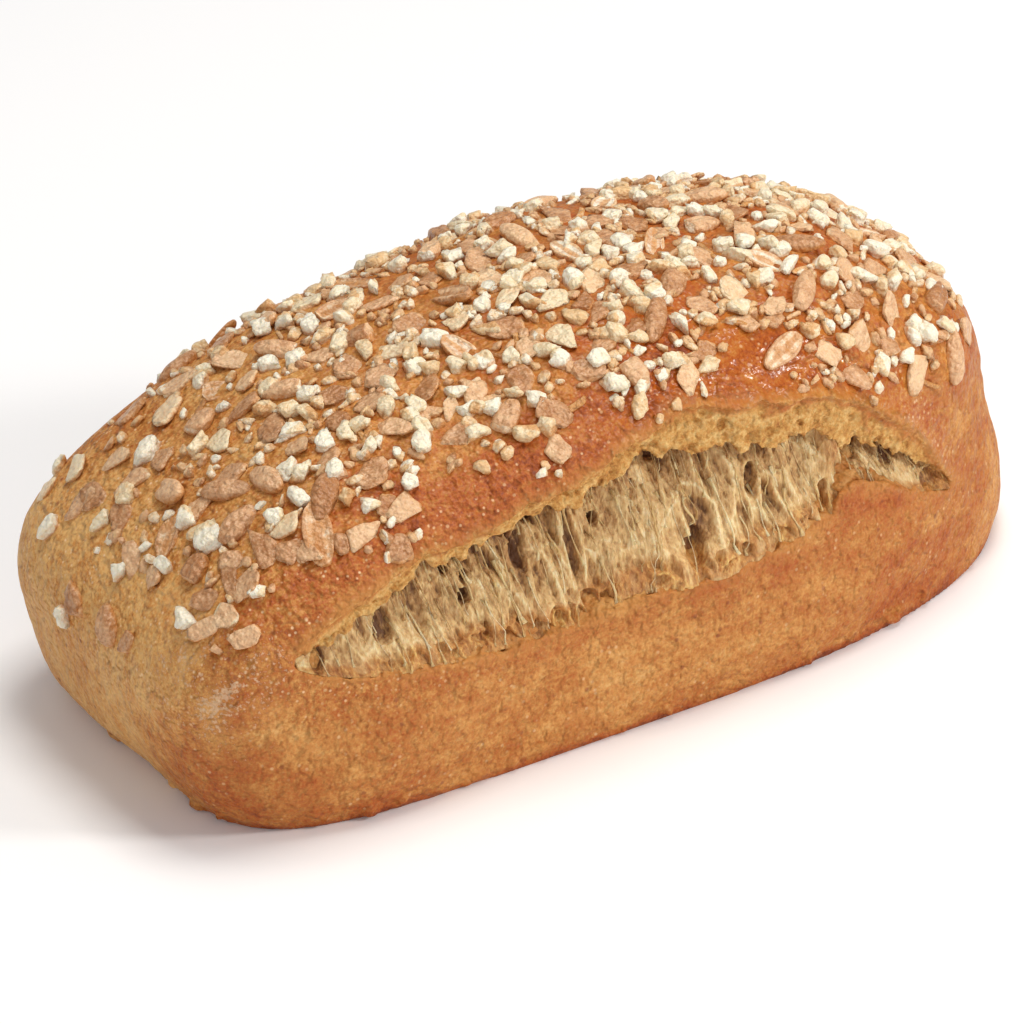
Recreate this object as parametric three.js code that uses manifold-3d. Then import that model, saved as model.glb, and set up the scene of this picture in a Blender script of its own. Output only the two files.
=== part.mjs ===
// A loaf-shaped bread roll, burst open along one flank and topped with kibbled grain.
// Millimetres, +Z up, +X along the roll, the burst flank faces -Y.
// The origin is on the table, under the middle of the roll.
//
// The roll is one solid: a domed shell with a flat base, a torn hollow cut into its flank, and
// the larger pieces of the topping fused where they stick to the crust.
import * as THREE from "three";
import { mergeVertices } from "three/addons/utils/BufferGeometryUtils.js";
import Module from "manifold-3d";

// Main sizes of the shell before it is leaned and tapered.
const HALF_LENGTH = 60;
const HALF_WIDTH = 28.6;
const BELLY_HEIGHT = 19.3; // height of the widest line
const CROWN_RISE = 27; // from the widest line up to the crown
const TUCK_DEPTH = 31.8; // depth of the curve that draws the walls in towards the base
const FULL_HEIGHT = BELLY_HEIGHT + CROWN_RISE;

// Squareness of the outline, as superellipse powers: 2 is round, larger is boxier.
const SQUARE_PLAIN_END = 5.3; // plan view of the -X end
const SQUARE_ROUND_END = 2.5; // plan view of the +X end
const SQUARE_CROWN = 2.8; // cross-section above the widest line
const SQUARE_TUCK = 3.6; // cross-section below it

// How the dough slumped: the crown climbs towards +X, and the top leans back over the -X end.
const CLIMB = 0.15;
const END_DROP = -0.15;
const LEAN_X = -8.4;
const LEAN_Y = 1.2;
const CENTRE_X = 2.1; // moves the leaned roll back over the origin
const CENTRE_Y = -0.48;

// The burst, as heights above the table at places along the roll, before it is centred.
const BURST_LOWER_LIP = [
  [-50.5, 22.7], [-46, 20.4], [-40, 18.8], [-31, 17.9], [-15, 16.4], [-6, 17.7],
  [3, 17], [11, 17.3], [21, 18.7], [28, 18.6], [37, 15.7], [42, 13.9],
];
const BURST_UPPER_LIP = [
  [-50.5, 24], [-39, 28.4], [-30, 30.6], [-20, 32.2], [-9.5, 33.2], [-4, 35],
  [4, 34.4], [18, 31.6], [28, 28.1], [36, 21.2], [42, 14.5],
];
const BURST_START = -50.5;
const BURST_END = 42;
const BURST_DEPTH = 5.6; // how far the torn crumb lies behind the crust, under the upper lip
const BURST_UNDERCUT = 1.6; // how far the hollow reaches up behind the upper lip
const STRAND_SPACING = 2.9; // from one pulled strand of crumb to the next
const STRAND_RELIEF = 0.55;
const STRAND_SLANT = 2.2; // how far a strand leans along the roll between the lips
const BURST_STEP = 0.5; // how far the crumb lies behind the crust at the lower lip
const UNDERCUT_HEIGHT = 8; // the hollow reaches fully up behind the lip where the lips are this far apart
const CUTTER_REACH = 7; // how far the cutter stands out of the flank
const LIP_SWELL = 1.1; // how far the crust rolls outwards along the upper lip
const LIP_SWELL_WIDTH = 3.4;

// Slow lumps of the proved dough: height, waves per radian along X, Y and Z, and shift.
const LUMPS = [
  [0.4, 0.12, 0.05, 0.03, 1.1],
  [0.3, 0.2, -0.04, -0.16, 2.0],
  [0.22, -0.09, 0.18, 0.27, 0.4],
];
const SWELL_FROM = 4; // height at which the lumps are fully grown, above the flat base
const SPINE_HEIGHT = 18; // the crust swells away from a line inside the roll
const SPINE_REACH = 36;

// Facets of the shell and of the burst.
const SHELL_FACETS = [26, 10, 8];
const BURST_FACETS = [56, 5];

// The topping. The largest pieces are placed first, and only those are fused to the roll.
const TOPPING_SEED = 20417;
const TOPPING_PIECES = 760;
const TOPPING_FUSED = 196;
const TOPPING_TRIES = 60; // places tried for each piece
const TOPPING_GAP = 0.95; // least spacing, as a share of the two pieces' mean length
const TOPPING_EDGE = 0.97; // how near the widest line a piece may lie, in the plan view
const SINK_SHARE = 0.4; // how deep a piece sits in the crust, as a share of its thickness
const TILT = 0.35; // how far a piece may lean from lying flat, in radians

// Where it sticks: down to a ragged line below the crown, lower at the +X end, hardly at the -X end.
const DROP = 5.2;
const DROP_GAIN = 0.62; // more drop for each millimetre beyond DROP_FROM
const DROP_FROM = 16;
const DROP_BLUR = 2.4;
const RAGGED = [[1.6, 3.1, 0], [1.1, 1.7, 2]]; // height, run and shift of the waves in its lower edge
const BARE_END = -58;
const BARE_END_BLUR = 7;
const BARE_END_CHANCE = 0.05;
const ROUND_END = 53.5; // no topping beyond this on the +X end
const ROUND_END_BLUR = 5;

// Kinds of topping: share of the pieces up to and with this kind, then the least and the greatest
// length, width and thickness.
const KINDS = [
  { name: "kernel", upTo: 0.08, length: [5.0, 7.4], width: [2.5, 3.2], thick: [1.9, 2.4] },
  { name: "flake", upTo: 0.44, length: [2.9, 5.5], width: [2.3, 3.7], thick: [1.0, 1.5] },
  { name: "kibble", upTo: 1, length: [2.1, 4.1], width: [1.8, 3.0], thick: [1.6, 2.5] },
];
const ROUGH_KERNEL = 0.08; // how uneven a piece is, as a share of its size
const ROUGH_CHIP = 0.3;
const NARROWED = 0.18; // how much narrower a chip is at its top

const wasm = await Module();
wasm.setup();

// A repeatable stream of numbers from 0 to 1.
function randomStream(seed) {
  let state = seed >>> 0;
  return () => {
    state = (state + 0x6d2b79f5) >>> 0;
    let mixed = Math.imul(state ^ (state >>> 15), 1 | state);
    mixed = (mixed + Math.imul(mixed ^ (mixed >>> 7), 61 | mixed)) ^ mixed;
    return ((mixed ^ (mixed >>> 14)) >>> 0) / 4294967296;
  };
}

const clamp = (value, low, high) => Math.min(high, Math.max(low, value));
const mix = (range, share) => range[0] + (range[1] - range[0]) * share;

// A smooth curve through a few points, as height over place.
function heightAlong(points, place) {
  const last = points.length - 2;
  let i = 0;
  while (i < last && place > points[i + 1][0]) i += 1;
  const slope = (k) => {
    const before = points[Math.max(k - 1, 0)];
    const after = points[Math.min(k + 1, points.length - 1)];
    return (after[1] - before[1]) / (after[0] - before[0]);
  };
  const [x0, z0] = points[i];
  const [x1, z1] = points[i + 1];
  const run = x1 - x0;
  const t = clamp((place - x0) / run, 0, 1);
  const rise = slope(i) * run * (t ** 3 - 2 * t ** 2 + t) + slope(i + 1) * run * (t ** 3 - t ** 2);
  return z0 * (2 * t ** 3 - 3 * t ** 2 + 1) + z1 * (3 * t ** 2 - 2 * t ** 3) + rise;
}

const planPower = (x) => (x < 0 ? SQUARE_PLAIN_END : SQUARE_ROUND_END);
const climbAt = (share) => 1 + CLIMB * share + END_DROP * share * share;

// Leans, tapers and centres a point of the plain shell.
function slump(x, y, z) {
  const height = z * climbAt(x / HALF_LENGTH);
  const leaning = clamp(height / FULL_HEIGHT, 0, 1);
  return new THREE.Vector3(
    x + LEAN_X * leaning + CENTRE_X,
    y + LEAN_Y * leaning + CENTRE_Y,
    height,
  );
}

// The inner line that the crust swells away from.
function outwards(point) {
  const spine = new THREE.Vector3(clamp(point.x, -SPINE_REACH, SPINE_REACH), 0, SPINE_HEIGHT);
  return point.clone().sub(spine).normalize();
}

// Slow lumps of the proved dough: how far the crust stands out at a point of the plain shell.
function lumpsAt({ x, y, z }) {
  return LUMPS.reduce(
    (sum, [height, alongX, alongY, alongZ, shift]) =>
      sum + height * Math.sin(x * alongX + y * alongY + z * alongZ + shift),
    0,
  );
}

// How much of its full depth the burst has at a place: it closes to a point at both ends.
function burstEnds(place) {
  return Math.sqrt(Math.max(Math.sin((Math.PI * (place - BURST_START)) / (BURST_END - BURST_START)), 0));
}

// The rolled edge of the crust along the burst's upper lip.
function lipAt({ x, y, z }) {
  const place = x - CENTRE_X;
  if (y > 0 || place < BURST_START || place > BURST_END) return 0;
  const above = z - heightAlong(BURST_UPPER_LIP, place) - LIP_SWELL_WIDTH / 2;
  return LIP_SWELL * burstEnds(place) * Math.exp(-((above / LIP_SWELL_WIDTH) ** 2));
}

const swellAt = (point) => (lumpsAt(point) + lipAt(point)) * clamp(point.z / SWELL_FROM, 0, 1);
const swollen = (point) => point.clone().addScaledVector(outwards(point), swellAt(point));

// A point of a cube from -1 to 1 taken to the shell.
function shellPoint(cx, cy, cz) {
  const n = planPower(cx);
  if (cz >= 0) {
    const around = (Math.abs(cx) ** n + Math.abs(cy) ** n) ** (SQUARE_CROWN / n);
    const reach = (around + Math.abs(cz) ** SQUARE_CROWN) ** (-1 / SQUARE_CROWN);
    return slump(
      HALF_LENGTH * cx * reach,
      HALF_WIDTH * cy * reach,
      BELLY_HEIGHT + CROWN_RISE * cz * reach,
    );
  }
  const drop = (BELLY_HEIGHT * Math.abs(cz)) / TUCK_DEPTH;
  const tuck = (1 - drop ** SQUARE_TUCK) ** (1 / SQUARE_TUCK);
  const rim = Math.max(Math.abs(cx), Math.abs(cy));
  const outline = rim > 0 ? ((Math.abs(cx) / rim) ** n + (Math.abs(cy) / rim) ** n) ** (-1 / n) : 1;
  return slump(
    HALF_LENGTH * cx * outline * tuck,
    HALF_WIDTH * cy * outline * tuck,
    BELLY_HEIGHT * (1 + cz),
  );
}

// The flank's y at a place along the roll and a height, on the burst side.
function flankY(place, height) {
  const leaning = clamp(height / FULL_HEIGHT, 0, 1);
  const x = place - LEAN_X * leaning;
  const share = x / HALF_LENGTH;
  const z = height / climbAt(share) - BELLY_HEIGHT;
  const n = planPower(x);
  const power = z >= 0 ? SQUARE_CROWN : SQUARE_TUCK;
  const depth = z >= 0 ? CROWN_RISE : TUCK_DEPTH;
  const around = Math.max(1 - Math.abs(z / depth) ** power, 0) ** (n / power);
  const across = Math.max(around - Math.abs(share) ** n, 0) ** (1 / n);
  return -HALF_WIDTH * across + LEAN_Y * leaning + CENTRE_Y;
}

// Takes a mesh whose shared vertices aren't merged to a closed solid.
function solidOf(geometry) {
  geometry.deleteAttribute("normal");
  geometry.deleteAttribute("uv");
  const merged = mergeVertices(geometry, 1e-4);
  return new wasm.Manifold(
    new wasm.Mesh({
      numProp: 3,
      vertProperties: merged.attributes.position.array,
      triVerts: new Uint32Array(merged.index.array),
    }),
  );
}

// Moves each vertex of a box geometry from its place in the unit box.
function reshape(geometry, move) {
  const at = geometry.attributes.position;
  for (let i = 0; i < at.count; i += 1) {
    const p = move(at.getX(i), at.getY(i), at.getZ(i));
    at.setXYZ(i, p.x, p.y, p.z);
  }
  return geometry;
}

function shell() {
  const box = new THREE.BoxGeometry(2, 2, 2, ...SHELL_FACETS);
  return solidOf(reshape(box, (x, y, z) => swollen(shellPoint(x, y, z))));
}

// The torn crumb: shallow at the lower lip, deepest under the upper one, ridged by its strands.
function burstDepth(place, share) {
  const turn = (2 * Math.PI * (place + STRAND_SLANT * share)) / STRAND_SPACING;
  const strand = Math.sin(turn) + 0.6 * Math.sin(0.59 * turn + 1);
  const torn = BURST_DEPTH * Math.sin((Math.PI / 2) * clamp(share, 0, 1));
  return burstEnds(place) * (BURST_STEP + torn + STRAND_RELIEF * strand * Math.sin(Math.PI * share));
}

// The tool that hollows the flank between the two lips.
function burstCutter() {
  const [along, up] = BURST_FACETS;
  const box = new THREE.BoxGeometry(1, 1, 1, along, 1, up);
  return solidOf(
    reshape(box, (x, y, z) => {
      const place = BURST_START + (x + 0.5) * (BURST_END - BURST_START);
      const share = z + 0.5;
      const low = heightAlong(BURST_LOWER_LIP, place);
      const high = heightAlong(BURST_UPPER_LIP, place);
      const height = low + share * (high - low);
      const plain = new THREE.Vector3(place + CENTRE_X, flankY(place, height), height);
      const front = plain.y + lumpsAt(plain) * outwards(plain).y;
      const inside = y > 0;
      const open = Math.min(1, (high - low) / UNDERCUT_HEIGHT);
      const raised = inside ? BURST_UNDERCUT * share ** 2 * open : 0;
      return new THREE.Vector3(
        place + CENTRE_X,
        inside ? front + burstDepth(place, share) : front - CUTTER_REACH,
        height + raised,
      );
    }),
  );
}

// A place on the dome, from shares of its half length and half width.
function domePoint(px, py) {
  const n = planPower(px);
  const around = (Math.abs(px) ** n + Math.abs(py) ** n) ** (SQUARE_CROWN / n);
  const rise = Math.max(1 - around, 0) ** (1 / SQUARE_CROWN);
  return swollen(slump(HALF_LENGTH * px, HALF_WIDTH * py, BELLY_HEIGHT + CROWN_RISE * rise));
}

function domeNormal(px, py) {
  const step = 0.004;
  const alongX = domePoint(px + step, py).sub(domePoint(px - step, py));
  const alongY = domePoint(px, py + step).sub(domePoint(px, py - step));
  return alongX.cross(alongY).normalize();
}

// How likely the topping sticks at a place of the dome.
function toppingChance(point, normal, px) {
  const crown = slump(HALF_LENGTH * px, 0, FULL_HEIGHT).z;
  const ragged = RAGGED.reduce(
    (sum, [height, run, shift]) => sum + height * Math.sin(point.x / run + shift),
    0,
  );
  const reach = DROP + DROP_GAIN * Math.max(point.x - DROP_FROM, 0) + ragged;
  const covered = clamp((reach - (crown - point.z)) / DROP_BLUR + 0.5, 0, 1);
  const bareEnd = clamp((point.x - BARE_END) / BARE_END_BLUR, BARE_END_CHANCE, 1);
  const roundEnd = clamp((ROUND_END - point.x) / ROUND_END_BLUR, 0, 1);
  const slope = Math.min(0.7 / Math.max(normal.z, 0.2), 1); // the plan view shows steep places short
  return covered * bareEnd * roundEnd * slope;
}

// Sizes of all the pieces, largest first.
function sortedPieces(random) {
  const pieces = Array.from({ length: TOPPING_PIECES }, (_, i) => {
    const rank = (i + 0.5) / TOPPING_PIECES;
    const kind = KINDS.find(({ upTo }) => rank < upTo);
    return {
      kind,
      length: mix(kind.length, random()),
      width: mix(kind.width, random()),
      thick: mix(kind.thick, random()),
      turn: 2 * Math.PI * random(),
      tilt: (2 * random() - 1) * TILT,
      seed: Math.floor(random() * 1e6) + 1,
    };
  });
  return pieces.sort((a, b) => b.length * b.width - a.length * a.width);
}

// Gives each piece a place on the dome, clear of the larger ones where there is room.
function scatterTopping(count) {
  const random = randomStream(TOPPING_SEED);
  const placed = [];
  for (const piece of sortedPieces(random)) {
    for (let i = 0; i < TOPPING_TRIES; i += 1) {
      const px = 2 * random() - 1;
      const py = 2 * random() - 1;
      const luck = random();
      const n = planPower(px);
      if (Math.abs(px) ** n + Math.abs(py) ** n > TOPPING_EDGE) continue;
      const at = domePoint(px, py);
      const normal = domeNormal(px, py);
      if (luck > toppingChance(at, normal, px)) continue;
      const gap = (other) => TOPPING_GAP * 0.5 * (other.length + piece.length);
      if (placed.some((other) => other.at.distanceTo(at) < gap(other))) continue;
      placed.push({ ...piece, at, normal });
      break;
    }
    if (placed.length === count) break;
  }
  return placed;
}

// One piece: a rough block, a flat flake or a long kernel, a little uneven, lying on the crust.
function toppingSolid(piece) {
  const random = randomStream(piece.seed);
  const isKernel = piece.kind.name === "kernel";
  const raw = isKernel ? new THREE.IcosahedronGeometry(0.56, 0) : new THREE.BoxGeometry(1, 1, 1);
  raw.deleteAttribute("normal");
  raw.deleteAttribute("uv");
  const geometry = mergeVertices(raw, 1e-4);
  const rough = isKernel ? ROUGH_KERNEL : ROUGH_CHIP;
  reshape(geometry, (x, y, z) => {
    const narrowed = isKernel ? 1 : 1 - NARROWED * (z + 0.5);
    return new THREE.Vector3(
      (x * narrowed + (random() - 0.5) * rough) * piece.length,
      (y * narrowed + (random() - 0.5) * rough) * piece.width,
      (z + (random() - 0.5) * rough) * piece.thick,
    );
  });
  const upright = new THREE.Quaternion().setFromUnitVectors(new THREE.Vector3(0, 0, 1), piece.normal);
  const lie = new THREE.Euler(piece.tilt, 0.6 * piece.tilt, piece.turn);
  geometry.applyQuaternion(upright.multiply(new THREE.Quaternion().setFromEuler(lie)));
  const lift = piece.thick * (0.5 - SINK_SHARE);
  geometry.translate(
    piece.at.x + piece.normal.x * lift,
    piece.at.y + piece.normal.y * lift,
    piece.at.z + piece.normal.z * lift,
  );
  return solidOf(geometry);
}

// The largest connected body, without the pockets that fusing may seal.
function mainBody(solid) {
  return solid.decompose().reduce((best, body) => (body.volume() > best.volume() ? body : best));
}

function geometryOf(solid) {
  const mesh = solid.getMesh();
  const geometry = new THREE.BufferGeometry();
  geometry.setAttribute("position", new THREE.BufferAttribute(mesh.vertProperties, mesh.numProp));
  geometry.setIndex(new THREE.BufferAttribute(mesh.triVerts, 1));
  geometry.computeVertexNormals();
  return geometry;
}

function makeRoll() {
  const bare = shell().subtract(burstCutter());
  const fused = wasm.Manifold.union([bare, ...scatterTopping(TOPPING_FUSED).map(toppingSolid)]);
  const crust = new THREE.MeshStandardMaterial({ color: 0xc98547, roughness: 0.55, metalness: 0 });
  const mesh = new THREE.Mesh(geometryOf(mainBody(fused)), crust);
  mesh.name = "roll";
  return mesh;
}

const breadRoll = new THREE.Group();
breadRoll.add(makeRoll());

export default breadRoll;
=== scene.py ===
# %% [markdown]
# # A loaf-shaped bread roll, burst along one flank and topped with cracked grain
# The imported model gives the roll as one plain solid. This lesson bakes it: the same form is worked
# out again with far finer faces, torn open, roughened, strewn with grain and given its finishes.
# All lengths are millimetres until a mesh is made, where MM turns them into metres.

# %% Load the frame
import math

import bmesh
import bpy
import numpy as np
from mathutils import Matrix


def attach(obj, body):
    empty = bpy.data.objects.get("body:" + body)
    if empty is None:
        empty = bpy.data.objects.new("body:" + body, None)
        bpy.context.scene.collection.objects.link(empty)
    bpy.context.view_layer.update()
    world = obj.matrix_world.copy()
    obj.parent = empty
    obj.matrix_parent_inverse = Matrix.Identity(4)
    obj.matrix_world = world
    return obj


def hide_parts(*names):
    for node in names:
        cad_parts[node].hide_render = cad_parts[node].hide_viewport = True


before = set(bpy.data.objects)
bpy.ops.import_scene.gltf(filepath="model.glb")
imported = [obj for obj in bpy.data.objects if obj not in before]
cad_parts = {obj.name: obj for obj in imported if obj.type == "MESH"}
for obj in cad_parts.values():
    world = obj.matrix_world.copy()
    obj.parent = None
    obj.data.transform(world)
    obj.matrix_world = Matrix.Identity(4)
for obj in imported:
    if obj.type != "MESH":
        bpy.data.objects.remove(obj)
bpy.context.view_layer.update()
MM = 0.001

# %% [markdown]
# ## The roll's form in numbers
# The shell is a rounded box whose outline and sections are superellipses: a power of 2 is an oval,
# a larger one is boxier. It is then slumped: the crown climbs towards +X and leans back over -X.
# A formula is better than a sculpted mesh here, because every later step can ask it where the
# crust is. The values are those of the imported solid, so both have the same form.

# %% Driving dimensions of the shell
HALF_LENGTH = 60.0
HALF_WIDTH = 28.6
BELLY_HEIGHT = 19.3
CROWN_RISE = 27.0
TUCK_DEPTH = 31.8
FULL_HEIGHT = BELLY_HEIGHT + CROWN_RISE
SQUARE_PLAIN_END, SQUARE_ROUND_END = 5.3, 2.5
SQUARE_CROWN, SQUARE_TUCK = 2.8, 3.6
CLIMB, END_DROP = 0.15, -0.15
LEAN_X, LEAN_Y = -8.4, 1.2
CENTRE_X, CENTRE_Y = 2.1, -0.48


def plan_power(x):
    return np.where(x < 0, SQUARE_PLAIN_END, SQUARE_ROUND_END)


def climb_at(share):
    return 1 + CLIMB * share + END_DROP * share**2


def slump(x, y, z):
    height = z * climb_at(x / HALF_LENGTH)
    leaning = np.clip(height / FULL_HEIGHT, 0, 1)
    return np.stack([x + LEAN_X * leaning + CENTRE_X, y + LEAN_Y * leaning + CENTRE_Y, height], -1)


print("crown at the middle:", round(float(slump(0.0, 0.0, FULL_HEIGHT)[2]), 1), "mm")

# %% [markdown]
# ## The burst's two lips
# Where the dough tore in the oven it left a lower lip, and an upper one of rolled crust. Each lip
# is a smooth curve through a few points, a place along the roll and a height. The hollow between
# them gets its own small function, which says how far it has opened at a place.

# %% Lips and hollow
BURST_LOWER_LIP = [
    (-50.5, 22.7), (-46, 20.4), (-40, 18.8), (-31, 17.9), (-15, 16.4), (-6, 17.7),
    (3, 17), (11, 17.3), (21, 18.7), (28, 18.6), (37, 15.7), (42, 13.9),
]
BURST_UPPER_LIP = [
    (-50.5, 24), (-39, 28.4), (-30, 30.6), (-20, 32.2), (-9.5, 33.2), (-4, 35),
    (4, 34.4), (18, 31.6), (28, 28.1), (36, 21.2), (42, 14.5),
]
BURST_START, BURST_END = -50.5, 42.0
TINY = 1e-9


def height_along(points, place):
    """A smooth curve through a few points, as height over place."""
    xs, zs = np.array(points, float).T
    last = len(xs) - 1
    ends = [(max(k - 1, 0), min(k + 1, last)) for k in range(len(xs))]
    slopes = np.array([(zs[b] - zs[a]) / (xs[b] - xs[a]) for a, b in ends])
    i = np.clip(np.searchsorted(xs, place, side="left") - 1, 0, last - 1)
    run = xs[i + 1] - xs[i]
    t = np.clip((place - xs[i]) / run, 0, 1)
    rise = slopes[i] * run * (t**3 - 2 * t**2 + t) + slopes[i + 1] * run * (t**3 - t**2)
    return zs[i] * (2 * t**3 - 3 * t**2 + 1) + zs[i + 1] * (3 * t**2 - 2 * t**3) + rise


def plain_lips(place):
    return height_along(BURST_LOWER_LIP, place), height_along(BURST_UPPER_LIP, place)


def burst_ends(place):
    """How open the burst is: 0 at both its ends, 1 in the middle."""
    turn = np.pi * (place - BURST_START) / (BURST_END - BURST_START)
    return np.sqrt(np.maximum(np.sin(turn), 0))


middle = np.array([-10.0])
print("burst at its middle:", *plain_lips(middle))

# %% [markdown]
# ## Swellings of the shell
# Dough rises unevenly. Low waves swell the shell and the upper lip rolls out a little, both away
# from a spine through the middle of the roll. With them the form is complete, and two functions
# can be asked for it: one gives the shell's points, the other the burst flank's place in depth.

# %% Shell points
LUMPS = [  # height of the wave, its run along x, y and z, and its shift
    (0.4, 0.12, 0.05, 0.03, 1.1),
    (0.3, 0.2, -0.04, -0.16, 2.0),
    (0.22, -0.09, 0.18, 0.27, 0.4),
]
LIP_SWELL, LIP_SWELL_WIDTH = 1.1, 3.4
SWELL_FROM = 4.0
SPINE_HEIGHT, SPINE_REACH = 18.0, 36.0


def unit(way):
    """The same direction, one unit long."""
    return way / np.linalg.norm(way, axis=-1, keepdims=True)


def lumps_at(p):
    x, y, z = p[..., 0], p[..., 1], p[..., 2]
    return sum(height * np.sin(x * a + y * b + z * c + shift) for height, a, b, c, shift in LUMPS)


def lip_at(p):
    place = p[..., 0] - CENTRE_X
    above = p[..., 2] - height_along(BURST_UPPER_LIP, place) - LIP_SWELL_WIDTH / 2
    here = (p[..., 1] <= 0) & (place >= BURST_START) & (place <= BURST_END)
    rolled = LIP_SWELL * burst_ends(place) * np.exp(-((above / LIP_SWELL_WIDTH) ** 2))
    return np.where(here, rolled, 0)


def outwards(p):
    x = np.clip(p[..., 0], -SPINE_REACH, SPINE_REACH)
    return unit(p - np.stack([x, 0 * x, 0 * x + SPINE_HEIGHT], -1))


def swollen(p):
    grown = (lumps_at(p) + lip_at(p)) * np.clip(p[..., 2] / SWELL_FROM, 0, 1)
    return p + outwards(p) * grown[..., None]


def shell_point(cube):
    """Points of a cube from -1 to 1, taken to the plain shell."""
    cx, cy, cz = cube.T
    n = plan_power(cx)
    around = np.maximum(abs(cx) ** n + abs(cy) ** n, 1e-12) ** (SQUARE_CROWN / n)
    reach = (around + np.maximum(cz, 0) ** SQUARE_CROWN) ** (-1 / SQUARE_CROWN)
    height = BELLY_HEIGHT + CROWN_RISE * cz * reach
    above = slump(HALF_LENGTH * cx * reach, HALF_WIDTH * cy * reach, height)
    drop = BELLY_HEIGHT * np.maximum(-cz, 0) / TUCK_DEPTH
    rim = np.maximum(np.maximum(abs(cx), abs(cy)), TINY)
    outline = ((abs(cx) / rim) ** n + (abs(cy) / rim) ** n) ** (-1 / n)
    outline = outline * (1 - drop**SQUARE_TUCK) ** (1 / SQUARE_TUCK)
    height = BELLY_HEIGHT * (1 + cz)
    below = slump(HALF_LENGTH * cx * outline, HALF_WIDTH * cy * outline, height)
    return np.where((cz >= 0)[:, None], above, below)


def flank_y(place, height):
    """The burst flank's y at a place along the roll and a height."""
    leaning = np.clip(height / FULL_HEIGHT, 0, 1)
    x = place - LEAN_X * leaning
    share = x / HALF_LENGTH
    z = height / climb_at(share) - BELLY_HEIGHT
    n = plan_power(x)
    power = np.where(z >= 0, SQUARE_CROWN, SQUARE_TUCK)
    depth = np.where(z >= 0, CROWN_RISE, TUCK_DEPTH)
    around = np.maximum(1 - abs(z / depth) ** power, 0) ** (n / power)
    across = np.maximum(around - abs(share) ** n, 0) ** (1 / n)
    return -HALF_WIDTH * across + LEAN_Y * leaning + CENTRE_Y


def front_y(place, height):
    """The same, with the dough's lumps."""
    plain = np.stack([place + CENTRE_X, flank_y(place, height), height], -1)
    return plain[..., 1] + lumps_at(plain) * outwards(plain)[..., 1]


print("flank at the burst's middle: y =", front_y(middle, plain_lips(middle)[0]), "mm")

# %% [markdown]
# ## Noise that can be asked anywhere
# Crust and crumb are rough at every scale. Blender has noise textures, but a mesh needs the
# numbers while it is made, so here are two small noises on arrays: a soft one that blends random
# values of a grid, and a cellular one that measures how far scattered seeds are, for pores.

# %% Seeded noise on arrays
MASK = 0xFFFFFFFF
WHOLE = 4294967296
FAR = 9.0


def scrambled(cells, seed):
    """A random number from 0 to 1 for each whole-number cell."""
    n = np.full(cells.shape[:-1], (seed * 374761393) & MASK, np.int64)
    for k, prime in enumerate((73856093, 19349663, 83492791)[: cells.shape[-1]]):
        n = n ^ ((cells[..., k] * prime) & MASK)
    n = ((n ^ (n >> 15)) * 739103341) & MASK
    n = ((n ^ (n >> 13)) * 1274126177) & MASK
    return ((n ^ (n >> 16)) & MASK) / WHOLE


def soft_noise(points, size, seed=0):
    """Smooth noise from -1 to 1, in patches of the given size."""
    q = points / size
    cell = np.floor(q).astype(np.int64)
    f = q - cell
    f = f * f * (3 - 2 * f)
    total = 0
    for corner in np.ndindex(*(2,) * points.shape[-1]):
        weight = np.prod(np.where(np.array(corner, bool), f, 1 - f), -1)
        total = total + weight * scrambled(cell + np.array(corner), seed)
    return 2 * total - 1


def rough_noise(points, size, seed=0, octaves=4, gain=0.5):
    """Soft noise in finer and finer layers."""
    size = np.asarray(size)
    total = sum(gain**k * soft_noise(points, size / 2**k, seed + 7 * k) for k in range(octaves))
    return total / sum(gain**k for k in range(octaves))


def along_noise(place, size, seed):
    """Soft noise along the roll alone."""
    return soft_noise(np.asarray(place, float)[..., None], size, seed)


def layered(noise, at, layers):
    """A sum of one kind of noise, each layer an amount, a patch size and a seed."""
    return sum(amount * noise(at, size, seed) for amount, size, seed in layers)


def pore_noise(points, size, seed=0):
    """Distance to the nearest and second nearest seed, in cells, and the nearest one's number."""
    q = points / size
    base = np.floor(q).astype(np.int64)
    first = np.full(q.shape[:-1], FAR)
    second = first.copy()
    own = np.zeros(q.shape[:-1])
    for step in np.ndindex(*(3,) * q.shape[-1]):
        cell = base + np.array(step) - 1
        jitter = np.stack([scrambled(cell, seed + 11 + k) for k in range(q.shape[-1])], -1)
        away = np.linalg.norm(cell + jitter - q, axis=-1)
        nearer = away < first
        second = np.where(nearer, first, np.minimum(second, away))
        own = np.where(nearer, scrambled(cell, seed + 5), own)
        first = np.where(nearer, away, first)
    return first, second, own


def ease(value, low, high):
    """0 at low, 1 at high, smooth between and level beyond; low may be the larger."""
    t = np.clip((value - low) / (high - low), 0, 1)
    return t * t * (3 - 2 * t)


print("noise sample:", rough_noise(np.array([[1.0, 2.0, 3.0]]), 2.0))

# %% [markdown]
# ## Making a mesh from arrays
# Every piece below ends as two arrays, points and faces, and some numbers for each point, such as
# how brown it has baked. One helper turns them into a closed mesh, another makes it a piece that
# rides on the roll's body, stands for the imported solid and takes its finish.

# %% Mesh and piece helpers
def write_fields(mesh, fields):
    """Writes numbers for each point, which a finish reads by name."""
    for name, values in fields.items():
        made = mesh.attributes.new(name, "FLOAT", "POINT")
        made.data.foreach_set("value", np.asarray(values, np.float32))


def new_mesh(name, points, faces, **fields):
    mesh = bpy.data.meshes.new(name)
    rows = [list(map(int, face)) for face in faces]
    mesh.from_pydata((np.asarray(points) * MM).tolist(), [], rows)
    mesh.validate()
    mesh.shade_smooth()
    write_fields(mesh, fields)
    made = bpy.data.objects.new(name, mesh)
    bpy.context.scene.collection.objects.link(made)
    return made


def add_piece(made, finish):
    made.data.materials.clear()
    made.data.materials.append(finish)
    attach(made, "root")
    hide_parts("roll")
    made.data.calc_loop_triangles()
    print(made.name, "has", len(made.data.loop_triangles), "triangles")


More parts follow.
